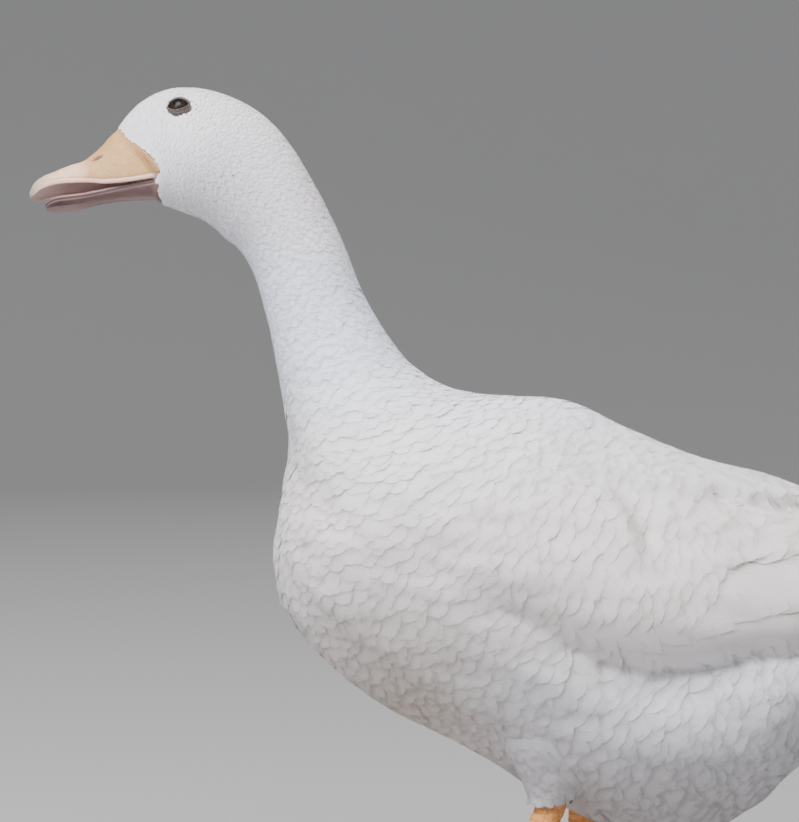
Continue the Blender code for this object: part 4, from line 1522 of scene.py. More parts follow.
def scapular_tract(side, seed):
    """The long shoulder feathers, which hang back over the top of the wing."""
    angle = angle_from(side)
    inside = between(RIB["breast"] + 0.2, RIB["thigh"] - 0.05) & (angle > 96) & (angle < 140)
    row, column, rng = scatter(body_form, inside * 1.0, 8.0, seed)
    count = len(row)
    length = np.interp(row, [np.searchsorted(rib_at, RIB[n]) for n in ("breast", "thigh")], [26, 62])
    half = np.interp(length, [26, 62], [8, 12])
    length = length * (1 + bell(rng, count, 0.1))
    shafts = run_back(body_form, row, column, length, side * -9 + bell(rng, count, 4))
    return lay(body_form, shafts, half, broad, rng, 4.4, 0.1, over=0.15)


for word, side in SIDES.items():
    rows = [wing_row(tract, side, 60 + n) for n, tract in enumerate(WING_TRACTS)]
    coat_piece("wing_quills_" + word, rows, quill_finish)
    coat_piece("wing_coverts_" + word, [covert_tract(side, 70), scapular_tract(side, 72)], vane_finish)


# %% [markdown]
# ## The tail
#
# Stiff feathers fan out behind the stump, sixteen over it and sixteen under it, round to its sides, so that
# the tail is closed all round. The solid tail is a flattened cone, and feathers laid over its whole length
# keep that shape. Soft coverts above and below hide their roots and reach part of the way to the tips.

# %% Tail fan and coverts
TAIL_COUNT = 16
TAIL_HALF_WIDTH = 9.5


def tail_fan(seed):
    rng = np.random.default_rng(seed)
    share = np.linspace(-1, 1, TAIL_COUNT)
    root_row = np.full(TAIL_COUNT, float(np.searchsorted(rib_at, RIB["tail root"])))
    tip_row = np.interp(RIB["tail tip"] - 0.10 * np.abs(share) ** 2, rib_at, np.arange(ROWS))
    half = np.full(TAIL_COUNT, TAIL_HALF_WIDTH)
    for angle in (90 - share * 90, 270 + share * 90):
        column = angle % 360 / 360 * COLUMNS
        shafts = run_between(np.stack([root_row, column], -1), np.stack([tip_row, column], -1))
        yield lay(body_form, shafts, half, quill, rng, 3.0, 0.1, settle=2.0, over=-1.4, dome=0.04, flat=True)


tail_share = between(RIB["tail root"] - 0.1, RIB["tail fan"] - 0.2)
tail_coverts = body_tract(tail_share * 1.0, 81, broad, tip_lift=0.2, longer=1.25)
coat_piece("coat_tail", [*tail_fan(80), tail_coverts], quill_finish)


# %% [markdown]
# ## Eyes
#
# A duck's eye shows almost no white. Behind the clear cornea is a dark brown iris with fine spokes, round a
# black pupil. The ball carries a value for how far each point lies from its axis, and the material reads the
# iris from that. A clear coat over it gives the wet highlight.

# %% Eyeballs
IRIS_EDGE, PUPIL_EDGE = 0.56, 0.27  # as shares of a quarter turn from the axis
PUPIL, RIM_OF_BALL = (0.004, 0.004, 0.005), (0.020, 0.015, 0.013)
IRIS_DARK, IRIS_LIGHT = (0.016, 0.008, 0.005), (0.042, 0.022, 0.012)
BLACK, WHITE = (0.0, 0.0, 0.0), (1.0, 1.0, 1.0)
CORNEA_RISE, CORNEA_WIDTH = 0.035, 0.62  # how much it stands out of the ball, and its spread as an angle
BALL_ROWS, BALL_TURNS, BALL_BACK = 46, 96, 1.3
eye_finish = bare_material("wet_eye", 0.4, coat=0.12, specular=0.12)
shader_of(eye_finish).inputs["Coat Roughness"].default_value = 0.03
tree = eye_finish.node_tree
off_axis = attribute(tree, "off_axis")
iris = ramp(tree, attribute(tree, "spoke"), ((0.0, IRIS_DARK), (1.0, IRIS_LIGHT)))
stops = ((PUPIL_EDGE - 0.01, BLACK), (PUPIL_EDGE + 0.01, (0.8, 0.8, 0.8)), (IRIS_EDGE, WHITE))
inside = blend(tree, ramp(tree, off_axis, stops, "LINEAR"), PUPIL, iris)
past_iris = ramp(tree, off_axis, ((IRIS_EDGE - 0.02, BLACK), (IRIS_EDGE + 0.03, WHITE)), "LINEAR")
link_colour(eye_finish, blend(tree, past_iris, inside, RIM_OF_BALL))

away = np.linspace(0.01, BALL_BACK, BALL_ROWS)[:, None] * math.pi / 2
turn = all_round(BALL_TURNS)[None, :]
radius = EYE_RADIUS * (1 + CORNEA_RISE * ridge(away, 0, CORNEA_WIDTH) - 0.012) + 0 * turn
spots = np.stack([8 * np.cos(turn) + 0 * away, 8 * np.sin(turn) + 0 * away, 0.6 * away + 0 * turn], -1)
spoke = np.clip(0.5 + 0.5 * undulation(spots, 1.5, 1.0, 3), 0, 1)
values = {
    "off_axis": np.append(away / (math.pi / 2) + 0 * turn, [0, BALL_BACK]),
    "spoke": np.append(spoke, [0, 0]),
}
for word, eye in EYES.items():
    flank = radius * np.sin(away)
    flat, faces = capped_tube(eye.place(flank * np.cos(turn), flank * np.sin(turn), radius * np.cos(away)))
    if word == "left":
        faces = [f[:, ::-1] for f in faces]
    made = pour("eyeball_" + word, flat, faces, eye_finish, values=values)
    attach(made, "root")
    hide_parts("eye_" + word)
    print(made.name + ":", len(made.data.polygons), "faces")


# %% [markdown]
# ## The bill
#
# The upper bill is a deep wedge at the face that flattens into a broad spoon and ends in a hard nail. Its
# lower rim is a rounded lip with a groove above it, a nostril opens on either side near the ridge, and inside
# the lip stand the combs that a duck strains its food with. Each half is drawn as arches along its length,
# with enough of them for the lip, the nostrils and the nail to be real shapes. The roof of the mouth is
# hollow. Near the face the horn is drawn on to the head's own form, so that it comes out from under the
# feathers without a step.

# %% Bill sections
UPPER_BILL = (  # ridge and mouth line as (x, z), and full width
    ((-226.4, 427.2), (-200.2, 395.9), 29.6),
    ((-228.3, 424.5), (-205.6, 395.0), 28.8),
    ((-232.4, 418.6), (-215.8, 393.4), 27.6),
    ((-236.6, 413.9), (-225.2, 392.4), 26.2),
    ((-240.8, 410.0), (-233.0, 392.2), 24.6),
    ((-244.9, 406.6), (-239.7, 392.6), 25.2),
    ((-252.2, 404.0), (-249.1, 392.4), 26.8),
    ((-259.0, 400.9), (-257.4, 391.6), 26.8),
    ((-265.2, 398.4), (-264.7, 389.7), 23.6),
    ((-269.9, 394.7), (-269.4, 387.2), 16.0),
    ((-272.3, 390.0), (-272.0, 386.8), 6.0),
)
LOWER_BILL = (  # underside and mouth line as (x, z), and full width
    ((-202.6, 386.8), (-202.6, 395.6), 26.0),
    ((-206.8, 386.6), (-207.2, 394.3), 25.0),
    ((-221.0, 386.3), (-221.0, 392.1), 21.0),
    ((-232.0, 385.0), (-231.9, 390.0), 20.0),
    ((-241.3, 383.2), (-241.3, 388.0), 20.4),
    ((-248.0, 381.2), (-248.0, 386.8), 21.6),
    ((-256.4, 380.4), (-256.4, 385.7), 21.6),
    ((-260.8, 380.3), (-261.0, 384.9), 16.0),
    ((-263.4, 380.9), (-263.8, 383.6), 8.0),
)
LIP = 1.1  # thickness of the lip at the mouth
UNDER_SKIN = 0.45  # how far under the head's form the horn's root lies


# %% Half a bill
class BillHalf:
    """Arches of one half of the bill: its outside, and a hollow inside joined to it along the lip."""

    def __init__(self, rows, count, arch, inside, hollow):
        mouth = np.array([row[1] for row in rows])
        knots = summed(steps_along(mouth))
        self.share = np.linspace(0, 1, count) ** 0.92
        read = curve_through([(*row[0], *row[1], row[2] / 2) for row in rows], self.share * knots[-1], knots)
        self.mouth, self.half = read[:, 2:4], read[:, 4]
        upwards = read[:, :2] - self.mouth
        height = np.linalg.norm(upwards, axis=1)[:, None]
        s = np.linspace(0, 1, arch)
        turn = math.pi * (0.45 * s + 0.55 * (0.5 - 0.5 * np.cos(math.pi * s)))
        up = np.sin(turn)[None, :] ** (1.0 - 0.25 * self.share[:, None])
        across = self.half[:, None] * np.cos(turn)[None, :]
        lip = np.minimum(LIP, self.half[:, None] * 0.35)
        inner = np.maximum(self.half[:, None] - lip, 0.2)
        t = np.linspace(-1, 1, inside)[None, :]
        roof = hollow * height * (1 - np.abs(t) ** 4) ** 0.8
        self.up = np.concatenate([up, roof / height], axis=1)
        self.over = self.up * height
        self.outside = np.arange(arch + inside) < arch
        flat = self.mouth[:, None, :] + upwards[:, None, :] * self.up[..., None]
        across = np.concatenate([across, inner * t], axis=1)
        self.points = np.stack([flat[..., 0], across, flat[..., 1]], -1)

    def meet_the_head(self, reach):
        """Draws the outside near the feather line on to the head's own form, a little under its surface."""
        far, above = beside_line(self.points, FEATHER_LINE)
        ahead = np.where(above > 0, -far, far)
        share = np.clip(1 - ahead / reach, 0, 1)
        share = share * share * (3 - 2 * share)
        share = share * self.outside * rise(self.over, 0.8, 2)
        turned = rolled(self.points)
        for r, c in zip(*np.nonzero(share > 0.001)):
            spot, way, _, _ = HEAD_TREE.find_nearest(Vector(turned[r, c]))
            turned[r, c] += share[r, c] * (np.array(spot - way * UNDER_SKIN) - turned[r, c])
        self.points = rolled(turned, -1)

    def push(self, amount):
        """Moves every point outward by its amount."""
        along = np.gradient(self.points, axis=0)
        around = (np.roll(self.points, -1, axis=1) - np.roll(self.points, 1, axis=1)) / 2
        out = unit(np.cross(along, around))
        middle = self.points.mean(axis=1, keepdims=True)
        if ((self.points - middle) * out)[:, self.outside].sum() < 0:
            out = -out
        self.points = self.points + out * amount[..., None]


def oval_distance(a, b, centre, halves, slant):
    """1 on the edge of an oval, less inside it. slant in degrees."""
    turn = math.radians(slant)
    a, b = a - centre[0], b - centre[1]
    along, across = a * math.cos(turn) + b * math.sin(turn), b * math.cos(turn) - a * math.sin(turn)
    return np.hypot(along / halves[0], across / halves[1])


# %% Shape the upper bill
head_rows = int(np.searchsorted(rib_at, RIB["throat"]))
head_quads = tube_faces(head_rows, COLUMNS).tolist()
head_spots = [Vector(p) for p in body_form.points[:head_rows].reshape(-1, 3)]
HEAD_TREE = BVHTree.FromPolygons(head_spots, head_quads)
if HEAD_TREE.find_nearest(Vector((-190, -60, 410)))[1].y > 0:
    HEAD_TREE = BVHTree.FromPolygons(head_spots, [quad[::-1] for quad in head_quads])
NOSTRIL_AT, NOSTRIL_HALVES, NOSTRIL_SLANT = (-237.0, 406.4), (3.0, 1.0), 24
NAIL_AT, NAIL_HALVES = (-267.6, 0.0), (5.6, 4.6)
NOSTRIL_DEPTH, NOSTRIL_RIM = 1.7, 0.34
NAIL_RISE, NAIL_SEAM = 0.28, 0.22
GROOVE_DEPTH, LIP_RISE = 0.42, 0.20


def places_on(half_bill):
    """The places of a bill's points, whether they are outside, and their share of its length."""
    x, y, z = np.moveaxis(half_bill.points, -1, 0)
    return x, y, z, np.broadcast_to(half_bill.outside, x.shape), half_bill.share[:, None] + 0 * x


upper = BillHalf(UPPER_BILL, 230, 132, 52, 0.34)
upper.meet_the_head(7.0)
x, y, z, outside, share = places_on(upper)
nostril = oval_distance(x, z, NOSTRIL_AT, NOSTRIL_HALVES, NOSTRIL_SLANT)
nostril = np.where(outside & (upper.over > 3), nostril, 9)
nail = np.where(outside, oval_distance(x, y, NAIL_AT, NAIL_HALVES, 0), 9)
lip_fade = rise(share, 0, 0.05) * fall(share, 0.93, 0.1)
groove = np.where(outside, ridge(upper.over, 2.5, 0.55), 0) * lip_fade
push = -GROOVE_DEPTH * groove + LIP_RISE * (np.where(outside, ridge(upper.over, 1.2, 0.8), 0) * lip_fade)
push = push - NOSTRIL_DEPTH * np.clip(1.25 - nostril, 0, 0.8) / 0.8 + NOSTRIL_RIM * ridge(nostril, 1.42, 0.22)
push = push + np.where(nail < 1, NAIL_RISE * (1 - nail**6), 0) - NAIL_SEAM * ridge(nail, 1.1, 0.09)
push = push - outside * 0.35 * ridge(y, 0, 3.2) * ridge(x, -238, 9)  # the ridge is hollowed in the middle
push = push + outside * (undulation(upper.points, 7, 0.07, 11) + undulation(upper.points, 2.4, 0.03, 12))
wrinkles = np.sin(share * 190 + 3 * undulation(upper.points, 9, 1, 13))
push = push + outside * 0.10 * wrinkles * fall(share, 0.16, 0.16)
upper.push(push)
print("upper bill pushed by", push.min().round(2), "to", push.max().round(2), "mm")


# %% [markdown]
# The combs are rows of thin plates that stand inside the lip of both halves, about one and a third
# millimetres apart. They show only through the open bill, so each is a simple wedge, but every one is there.

# %% Combs
COMB_PITCH = 1.35
COMB_FACES = ((0, 1, 2), (3, 5, 4), (0, 3, 4), (0, 4, 1), (1, 4, 5), (1, 5, 2), (2, 5, 3), (2, 3, 0))


def combs(half_bill, first, last, reach, height, sign):
    """Wedges along both lips. sign is 1 where they hang down from the upper bill."""
    length = steps_along(half_bill.mouth).sum()
    rows = np.arange(len(half_bill.share))
    points, faces = [], []
    for side, share in product((-1, 1), np.arange(first, last, COMB_PITCH / length)):
        k = np.interp(share, half_bill.share, rows)
        x, z, half = (np.interp(k, rows, v) for v in (*half_bill.mouth.T, half_bill.half))
        faces.append(np.array(COMB_FACES) + len(points))
        for dx in (-0.22, 0.22):
            points.append((x + dx, side * (half - 0.5), z + sign * 0.25))
            points.append((x + dx * 0.6, side * (half - 0.5 - reach), z + sign * 0.5))
            points.append((x + dx, side * (half - 0.9), z + sign * (0.5 + height)))
    return np.array(points), np.concatenate(faces)


# %% Horn of the bill
# the last colour is painted shade in the nostril's shallow pit
NAIL_HORN, TIP_HORN, NOSTRIL_PAINTED_SHADE = (0.56, 0.44, 0.36), (0.50, 0.35, 0.30), (0.26, 0.15, 0.10)


def bill_material(name, base, front, rim, inner):
    """Soft horn: a colour at the face, another in front, a rim, a nail, a pink inside and painted shade in
    the pit.
    """
    made = bare_material(name, 0.50, specular=0.25)
    tree = made.node_tree
    where = coordinates(tree)
    to_front = attribute(tree, "front")
    edge = calculated(tree, "MULTIPLY_ADD", noise(tree, 140, 3, 0.55, where), 0.34, to_front)
    colour = blend(tree, spread_of(tree, edge, 0.74, 1.05), base, front)
    mottle = ramp(tree, noise(tree, 420, 4, 0.6, where), ((0.30, (0.88, 0.85, 0.82)), (0.70, WHITE)))
    colour = blend(tree, 0.7, colour, mottle, "MULTIPLY")
    veins = ramp(tree, noise(tree, 75, 5, 0.7, where), ((0.45, WHITE), (0.62, (0.95, 0.86, 0.82))))
    colour = blend(tree, 0.6, colour, veins, "MULTIPLY")
    colour = blend(tree, attribute(tree, "rim"), colour, rim)
    colour = blend(tree, spread_of(tree, to_front, 1.3, 1.9), colour, TIP_HORN)
    # the nostril's pit is painted dark brown as shade
    for part, horn in (("nail", NAIL_HORN), ("deep", inner), ("pit", NOSTRIL_PAINTED_SHADE)):
        colour = blend(tree, attribute(tree, part), colour, horn)
    link_colour(made, colour)
    link_bump(made, noise(tree, 1500, 3, 0.6, where), 0.25, 0.0003)
    return made


def build_bill(name, half_bill, comb, values, material):
    """Half of the bill with its combs. values gives each attribute on the horn, and then on the combs."""
    flat, faces = capped_tube(half_bill.points)
    stored = {}
    for key, (on_horn, on_combs) in values.items():
        ends = on_horn[0].mean(), on_horn[-1].mean()
        stored[key] = np.concatenate([on_horn.ravel(), ends, np.full(len(comb[0]), on_combs)])
    points = rolled(np.concatenate([flat, comb[0]]))
    made = pour(name, points, [*faces, comb[1] + len(flat)], material, values=stored)
    face_outward(made)
    print(name + ":", sum(len(p.vertices) - 2 for p in made.data.polygons), "triangles")
    return made


bill_finish = bill_material(
    "bill_horn_upper",
    base=(0.58, 0.335, 0.145),
    front=(0.88, 0.56, 0.41),
    rim=(0.80, 0.50, 0.40),
    inner=(0.70, 0.50, 0.47),
)
deep = np.clip(1.15 - nostril, 0, 0.5) * 2 + 0.55 * groove * fall(share, 0.75, 0.2)
rim = np.clip(1.6 - np.abs(upper.over - 1.1), 0, 1) * outside * fall(share, 0.8, 0.2) * 0.85
values = {
    "front": (np.clip((-228 - x) / 22, 0, 2), 0.5),
    "rim": (rim, 0.6),
    "deep": (np.where(outside, np.clip(deep, 0, 1), 1.0), 0.2),
    "nail": (np.clip((1.05 - nail) * 12, 0, 1), 0),
    # where the nostril's pit is painted dark as shade
    "pit": (fall(nostril, 1.15, 0.35), 0),
}
made = build_bill("upper_bill", upper, combs(upper, 0.22, 0.94, 1.6, 1.4, 1), values, bill_finish)
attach(made, "root")
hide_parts("bill_upper")


# %% Lower bill
lower = BillHalf(LOWER_BILL, 190, 100, 40, 0.30)
lower.meet_the_head(4.0)
x, y, z, outside, share = places_on(lower)
keel = ridge(y, 0, 0.36 * lower.half[:, None]) * fall(share, 0.72, 0.15)
side_groove = ridge(lower.over, 1.9, 0.4) * rise(share, 0, 0.1)
push = outside * (-0.55 * keel - 0.3 * side_groove + undulation(lower.points, 6, 0.06, 15))
push = push + outside * 0.22 * ridge(lower.over, 0.8, 0.6)
lower.push(push)
under_finish = bill_material(
    "bill_horn_lower",
    base=(0.205, 0.125, 0.12),
    front=(0.13, 0.075, 0.075),
    rim=(0.40, 0.26, 0.25),
    inner=(0.60, 0.40, 0.39),
)
rim = outside * np.clip(1.3 - lower.over, 0, 1) * 0.5
rim = rim + outside * (lower.up > 0.80) * rise(share, 0.55, 0.2) * 0.6
values = {
    "front": (fall(x, -232, 26), 0.5),
    "rim": (rim, 0.5),
    "deep": (np.where(outside, 0.35 * side_groove + 0.5 * keel * np.clip(0.7 - share, 0, 0.5), 1.0), 0.3),
    "nail": (0 * x, 0),
    "pit": (0 * x, 0),
}
made = build_bill("lower_bill", lower, combs(lower, 0.20, 0.92, 1.2, 0.9, -1), values, under_finish)
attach(made, "root")
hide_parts("bill_lower")


# %% [markdown]
# ## The tongue
#
# The tongue lies in the lower bill like a narrow leaf. It has a groove down its middle and soft backward
# bristles along its sides, and it is wet.

# %% Tongue
TONGUE = (  # middle of its upper side as (x, z), full width and thickness
    (-234.0, 391.0, 7.0, 0.8),
    (-241.0, 390.4, 9.0, 1.6),
    (-249.0, 389.4, 9.5, 2.0),
    (-255.0, 388.6, 8.5, 2.0),
    (-258.6, 388.0, 5.0, 1.4),
)
BRISTLE, TONGUE_GROOVE = 0.18, 0.35
tongue_finish = bare_material("wet_tongue", 0.32, coat=0.35)
tree = tongue_finish.node_tree
where = coordinates(tree)
flesh = ramp(tree, noise(tree, 260, 4, 0.6, where), ((0.3, (0.50, 0.20, 0.20)), (0.7, (0.66, 0.34, 0.32))))
link_colour(tongue_finish, flesh)
link_bump(tongue_finish, noise(tree, 1900, 2, 0.6, where), 0.5, 0.0003)
at = np.linspace(0, 4, 90)
x, z, width, thick = (column[:, None] for column in curve_through(TONGUE, at).T)
at = at[:, None]
turn = all_round(64)[None, :]
round_tip = fall(at, 4.02, 0.5) ** 0.5
across = width / 2 * round_tip * np.cos(turn)
bristle = BRISTLE * np.abs(np.cos(turn)) ** 6 * (0.5 + 0.5 * np.sin(at * 46))
across = across * (1 + bristle / (width / 2))
groove = TONGUE_GROOVE * ridge(across, 0, 0.5) * (np.sin(turn) > 0) * np.clip(at, 0, 1)
height = z + thick / 2 * round_tip * (np.sin(turn) - 1) - groove
flat, faces = capped_tube(np.stack([x + 0 * turn, across, height], -1))
tongue = pour("tongue_leaf", rolled(flat), faces, tongue_finish)
face_outward(tongue)
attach(tongue, "root")
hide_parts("tongue")
print("tongue_leaf:", len(tongue.data.polygons), "faces")


# %% [markdown]
# ## Legs and feet
#
# A duck's leg is covered with horny scales: broad plates one below another down the front of the shank and
# along the top of each toe, and small many-sided scales everywhere else, finest on the web. The solid shank
# ends at the hock. On a live bird the bare leg goes on above that joint for a finger's width and only then
# meets the feathers, so its top is drawn on up into the thigh. The solid model has the right bulk, so an even
# mesh is drawn over it first, and the scales are then pressed into that mesh. The small ones are the cells
# round scattered points, which is how such scales grow.

# %% An even mesh over the leg
LEG_VOXEL = 0.55
ANKLE = {"left": (-9.0, -46.0), "right": (46.0, 46.0)}
TOES = ((-27, 54), (2, 68), (31, 62))  # heading away from straight ahead, towards the outside, and length
OVERLAP = 3.5
BARE_RISE = 18.0  # how far the scaly leg goes on above the hock, up into the feathers


def even_leg(word):
    """One object over the shank, the foot and the hind toe, which are stretched into each other first."""
    points, faces = [], []
    for kind in ("shank", "foot", "hind_toe"):
        mesh = nodes[kind + "_" + word].data
        spots = np.array([v.co for v in mesh.vertices]) / MM
        x, z = spots[:, 0], spots[:, 2]
        if kind == "shank":
            low, high = z.min(), z.max()
            z[z < low + 0.3] -= OVERLAP
            reach = np.array(THIGH_REACH[word]) * (1, SIDES[word], 1)
            spots[z > high - 0.3] += BARE_RISE * reach / reach[2]
        if kind == "hind_toe":
            x[(z > z.max() - 5.0) & (x < x.min() + 0.3)] -= OVERLAP
        faces += [[len(points) + i for i in p.vertices] for p in mesh.polygons]
        points += list(spots)
    mesh = bpy.data.meshes.new("leg_" + word)
    mesh.from_pydata(np.array(points) * MM, [], faces)
    made = add_object("leg_" + word, mesh)
    remesh = made.modifiers.new("even", "REMESH")
    remesh.mode, remesh.voxel_size = "VOXEL", LEG_VOXEL * MM
    soften = made.modifiers.new("soften", "SMOOTH")
    soften.factor, soften.iterations = 0.5, 9
    apply_modifiers(made)
    return made


# %% Patterns of the scales
def cells(points, size, seed):
    """The gap to the wall of the cell that each point is in, in millimetres, and that cell's own number."""
    spot = points / size
    base = np.floor(spot)
    first, second, own = (np.full(len(points), v) for v in (9.0, 9.0, 0.0))
    for step in product((-1, 0, 1), repeat=3):
        corner = base + step
        key = corner @ (12.9898, 78.233, 37.719) + seed
        chance = np.stack([np.modf(np.abs(np.sin(key * m)) * 43758.5453)[0] for m in (1.0, 1.3, 1.7)], -1)
        away = np.linalg.norm(corner + 0.15 + 0.7 * chance - spot, axis=-1)
        nearer = away < first
        second = np.where(nearer, first, np.minimum(second, away))
        own = np.where(nearer, chance[:, 0], own)
        first = np.minimum(first, away)
    return (second - first) * size, own


def plates(along, pitch):
    """Height and seams of plates one after another, as shares."""
    share = np.mod(along / pitch, 1.0)
    seam = np.exp(-((np.minimum(share, 1 - share) * pitch / 0.32) ** 2))
    return share**0.6 * (1 - share**8), seam


def by_the_toes(flat):
    """How far each place is from the middle of the nearest toe, and how far along that toe."""
    nearest, along = np.full(len(flat), 99.0), np.zeros(len(flat))
    for heading, _ in TOES:
        cos, sin = math.cos(math.radians(heading)), math.sin(math.radians(heading))
        forward = flat[:, 0] * cos + flat[:, 1] * sin
        off = np.where(forward > 0, np.abs(flat[:, 1] * cos - flat[:, 0] * sin), 99.0)
        along = np.where(off < nearest, forward, along)
        nearest = np.minimum(nearest, off)
    return nearest, along


# %% The skin of the leg
SEAM_HORN, WEB_SKIN, GRIME = (0.46, 0.17, 0.05), (0.86, 0.43, 0.16), (0.46, 0.27, 0.15)
leg_finish = bare_material("leg_scales", 0.5, specular=0.4)
tree = leg_finish.node_tree
where = coordinates(tree)
horn = ramp(tree, noise(tree, 60, 4, 0.6, where), ((0.3, (0.74, 0.27, 0.055)), (0.7, (0.88, 0.40, 0.11))))
tint = ramp(tree, attribute(tree, "scale"), ((0.0, (0.88, 0.86, 0.84)), (1.0, WHITE)), "LINEAR")
horn = blend(tree, 1.0, horn, tint, "MULTIPLY")
horn = blend(tree, blend(tree, 0.55, BLACK, attribute(tree, "web")), horn, WEB_SKIN)
grime = ramp(tree, noise(tree, 45, 5, 0.65, where), ((0.50, BLACK), (0.72, (0.5, 0.5, 0.5))))
horn = blend(tree, grime, horn, GRIME)
link_colour(leg_finish, blend(tree, attribute(tree, "seam"), horn, SEAM_HORN))
link_bump(leg_finish, noise(tree, 1700, 3, 0.6, where), 0.35, 0.0003)


# %% Press the scales in
TOE_PLATE, SHANK_PLATE, SCALE_SIZE, WEB_SCALE_SIZE = 2.7, 3.9, 2.3, 1.45
PLATE_RISE, SEAM_DEPTH, SCALE_DEPTH, WEB_SCALE_DEPTH, WEB_FOLD = 0.30, 0.34, 0.24, 0.12, 0.22


def scale_leg(word):
    made = even_leg(word)
    mesh = made.data
    spots, out = np.empty((2, len(mesh.vertices) * 3), np.float32)
    mesh.vertices.foreach_get("co", spots)
    mesh.vertex_normals.foreach_get("vector", out)
    spots, out = spots.reshape(-1, 3) / MM, out.reshape(-1, 3)
    ankle = np.array(ANKLE[word])
    flat, height = (spots[:, :2] - ankle) * (-1, SIDES[word]), spots[:, 2]
    reach = np.hypot(flat[:, 0], flat[:, 1])
    nearest, along = by_the_toes(flat)
    on_toe = fall(nearest, 4.6, 1.2) * (out[:, 2] > 0.05)
    on_toe = on_toe * rise(reach, 9, 4) * (height < 12)
    on_shank = rise(height, 11, 3)
    front = on_shank * rise(-out[:, 0], 0.15, 0.3)
    web = (1 - on_toe) * (1 - on_shank) * rise(reach, 14, 5) * (nearest > 3.2)
    rest = np.clip(1 - on_toe - front, 0, 1)
    toe_rise, toe_seam = plates(along + 0.35 * nearest, TOE_PLATE)
    shank_rise, shank_seam = plates(height + 0.30 * np.abs(spots[:, 1] - ankle[1]), SHANK_PLATE)
    gap, scale = cells(spots, SCALE_SIZE, 3)
    fine_gap, fine_scale = cells(spots, WEB_SCALE_SIZE, 7)
    small, fine = ridge(gap, 0, 0.34), ridge(fine_gap, 0, 0.26)
    seam = on_toe * toe_seam + front * shank_seam
    push = PLATE_RISE * (on_toe * toe_rise + front * shank_rise) - SEAM_DEPTH * seam
    push = push - rest * ((1 - web) * SCALE_DEPTH * small + web * WEB_SCALE_DEPTH * fine)
    folds = np.sin(np.degrees(np.arctan2(flat[:, 1], flat[:, 0])) * 1.1 + 2 * undulation(spots, 16, 1, 5))
    push = push + web * WEB_FOLD * folds * rise(reach, 18, 20)
    push = push + undulation(spots, 9, 0.10, 6)
    spots = spots + out * push[:, None]
    spots[:, 2] = np.maximum(spots[:, 2] - np.percentile(spots[:, 2], 0.2), 0.0)
    mesh.vertices.foreach_set("co", (spots * MM).astype(np.float32).ravel())
    values = {
        "seam": np.clip(seam + rest * ((1 - web) * small * 0.8 + web * fine * 0.45), 0, 1),
        "web": web,
        "scale": np.where(rest > 0.5, np.where(web > 0.5, fine_scale, scale), 0.8),
    }
    for name, per_point in values.items():
        mesh.attributes.new(name, "FLOAT", "POINT").data.foreach_set("value", per_point.astype(np.float32))
    mesh.update()
    mesh.shade_smooth()
    mesh.materials.append(leg_finish)
    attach(made, "root")
    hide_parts("shank_" + word, "foot_" + word, "hind_toe_" + word)
    print(made.name + ":", len(mesh.polygons), "faces")


for word in SIDES:
    scale_leg(word)


# %% [markdown]
# ## Claws
#
# Every toe ends in a short, blunt, slightly hooked claw of pale horn, flattened from side to side, with its
# root under the last scale of the toe.

# %% One claw
CLAW_ROWS, CLAW_TURNS = 20, 24
UPWARDS = np.array((0, 0, 1.0))
claw_finish = bare_material("claw_horn", 0.38, specular=0.5)
tree = claw_finish.node_tree
where = coordinates(tree)
streak = ramp(tree, noise(tree, 300, 4, 0.6, where), ((0.3, (0.52, 0.36, 0.22)), (0.7, (0.74, 0.60, 0.44))))
link_colour(claw_finish, blend(tree, attribute(tree, "out_along"), streak, (0.30, 0.22, 0.16)))
link_bump(claw_finish, noise(tree, 1400, 3, 0.6, where), 0.3, 0.0003)


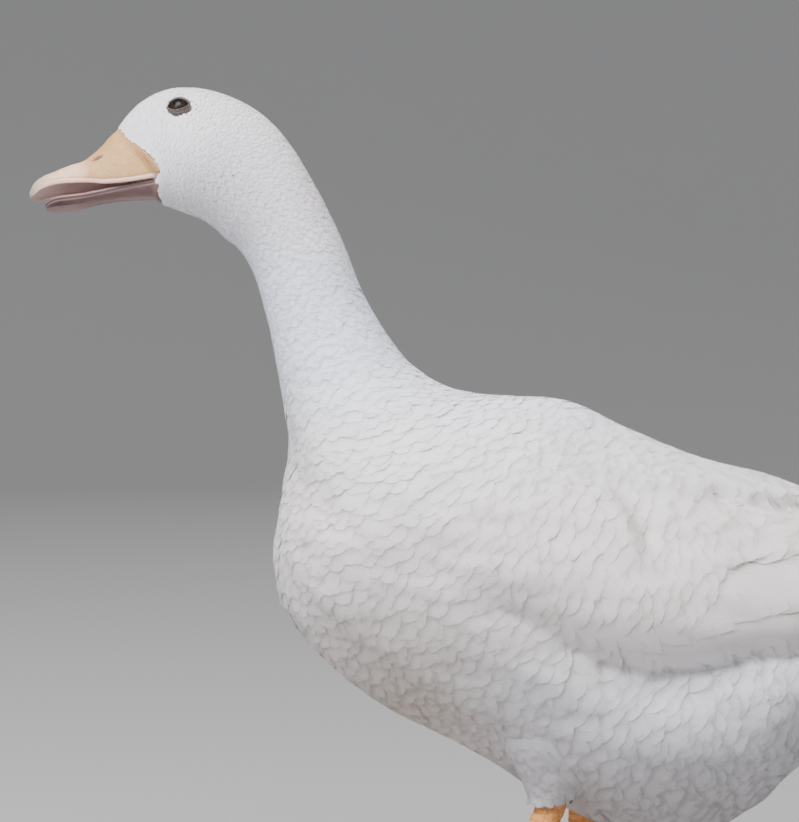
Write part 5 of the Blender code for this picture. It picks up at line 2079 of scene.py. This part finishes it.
def claw_points(root, way, length, deep, wide, droop):
    """Rings of one claw that starts level along way and bends down by droop degrees."""
    share = np.linspace(0, 1, CLAW_ROWS)
    bend = np.radians(droop * share)
    step = length / (CLAW_ROWS - 1)
    forward, down = (summed(part(bend[:-1]) * step) for part in (np.cos, np.sin))
    middle = root + forward[:, None] * way - down[:, None] * UPWARDS
    turn = all_round(CLAW_TURNS)[None, :, None]
    taper = ((1 - share) ** 0.62 * 0.94 + 0.06)[:, None, None]
    normal = np.cos(bend)[:, None] * UPWARDS + np.sin(bend)[:, None] * way
    ring = wide * np.cos(turn) * np.cross(way, UPWARDS) + deep * np.sin(turn) * normal[:, None, :]
    return middle[:, None, :] + taper * ring


# %% All the claws
FRONT_CLAW, HIND_CLAW = (8.6, 1.7, 1.25, 30), (5.4, 1.1, 0.85, 38)  # length, depth, width and droop
HIND_TOE_LENGTH = 19.0
for word, side in SIDES.items():
    ankle = np.array((*ANKLE[word], 0.0))
    rings = []
    for heading, length in TOES:
        turn = math.radians(heading)
        way = np.array((-math.cos(turn), side * math.sin(turn), 0.0))
        rings.append(claw_points(ankle + way * (length - 4.6) + (0, 0, 2.7), way, *FRONT_CLAW))
    hind = np.array((0.93, -side * 0.24, 0.0))
    hind /= np.linalg.norm(hind)
    rings.append(claw_points(ankle + hind * HIND_TOE_LENGTH + (0, 0, 3.0), hind, *HIND_CLAW))
    points, faces = [], []
    for n, (flat, made) in enumerate(capped_tube(ring) for ring in rings):
        faces += [f + n * len(flat) for f in made]
        points.append(flat)
    points = np.concatenate(points)
    points[:, 2] = np.maximum(points[:, 2], 0.05)
    out_along = np.append(np.repeat(np.linspace(0, 0.8, CLAW_ROWS) ** 2, CLAW_TURNS), [0, 0.7])
    values = {"out_along": np.tile(out_along, len(rings))}
    made = pour("claws_" + word, points, faces, claw_finish, values=values)
    face_outward(made)
    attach(made, "root")
    print(made.name + ":", len(made.data.polygons), "faces")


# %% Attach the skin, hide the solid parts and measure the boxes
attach(skin, "root")
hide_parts("tail", "trunk", "neck_lower", "neck_upper", "head", "wing_left", "wing_right")
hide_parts("primaries_left", "primaries_right", "thigh_left", "thigh_right")

sizes = {
    "cad": [[float(v) for v in corner] for corner in cad_box],
    "visual": [[float(v) for v in corner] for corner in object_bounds()],
}
print("visual box:", [round((h - l) / MM, 1) for l, h in zip(*sizes["visual"])])
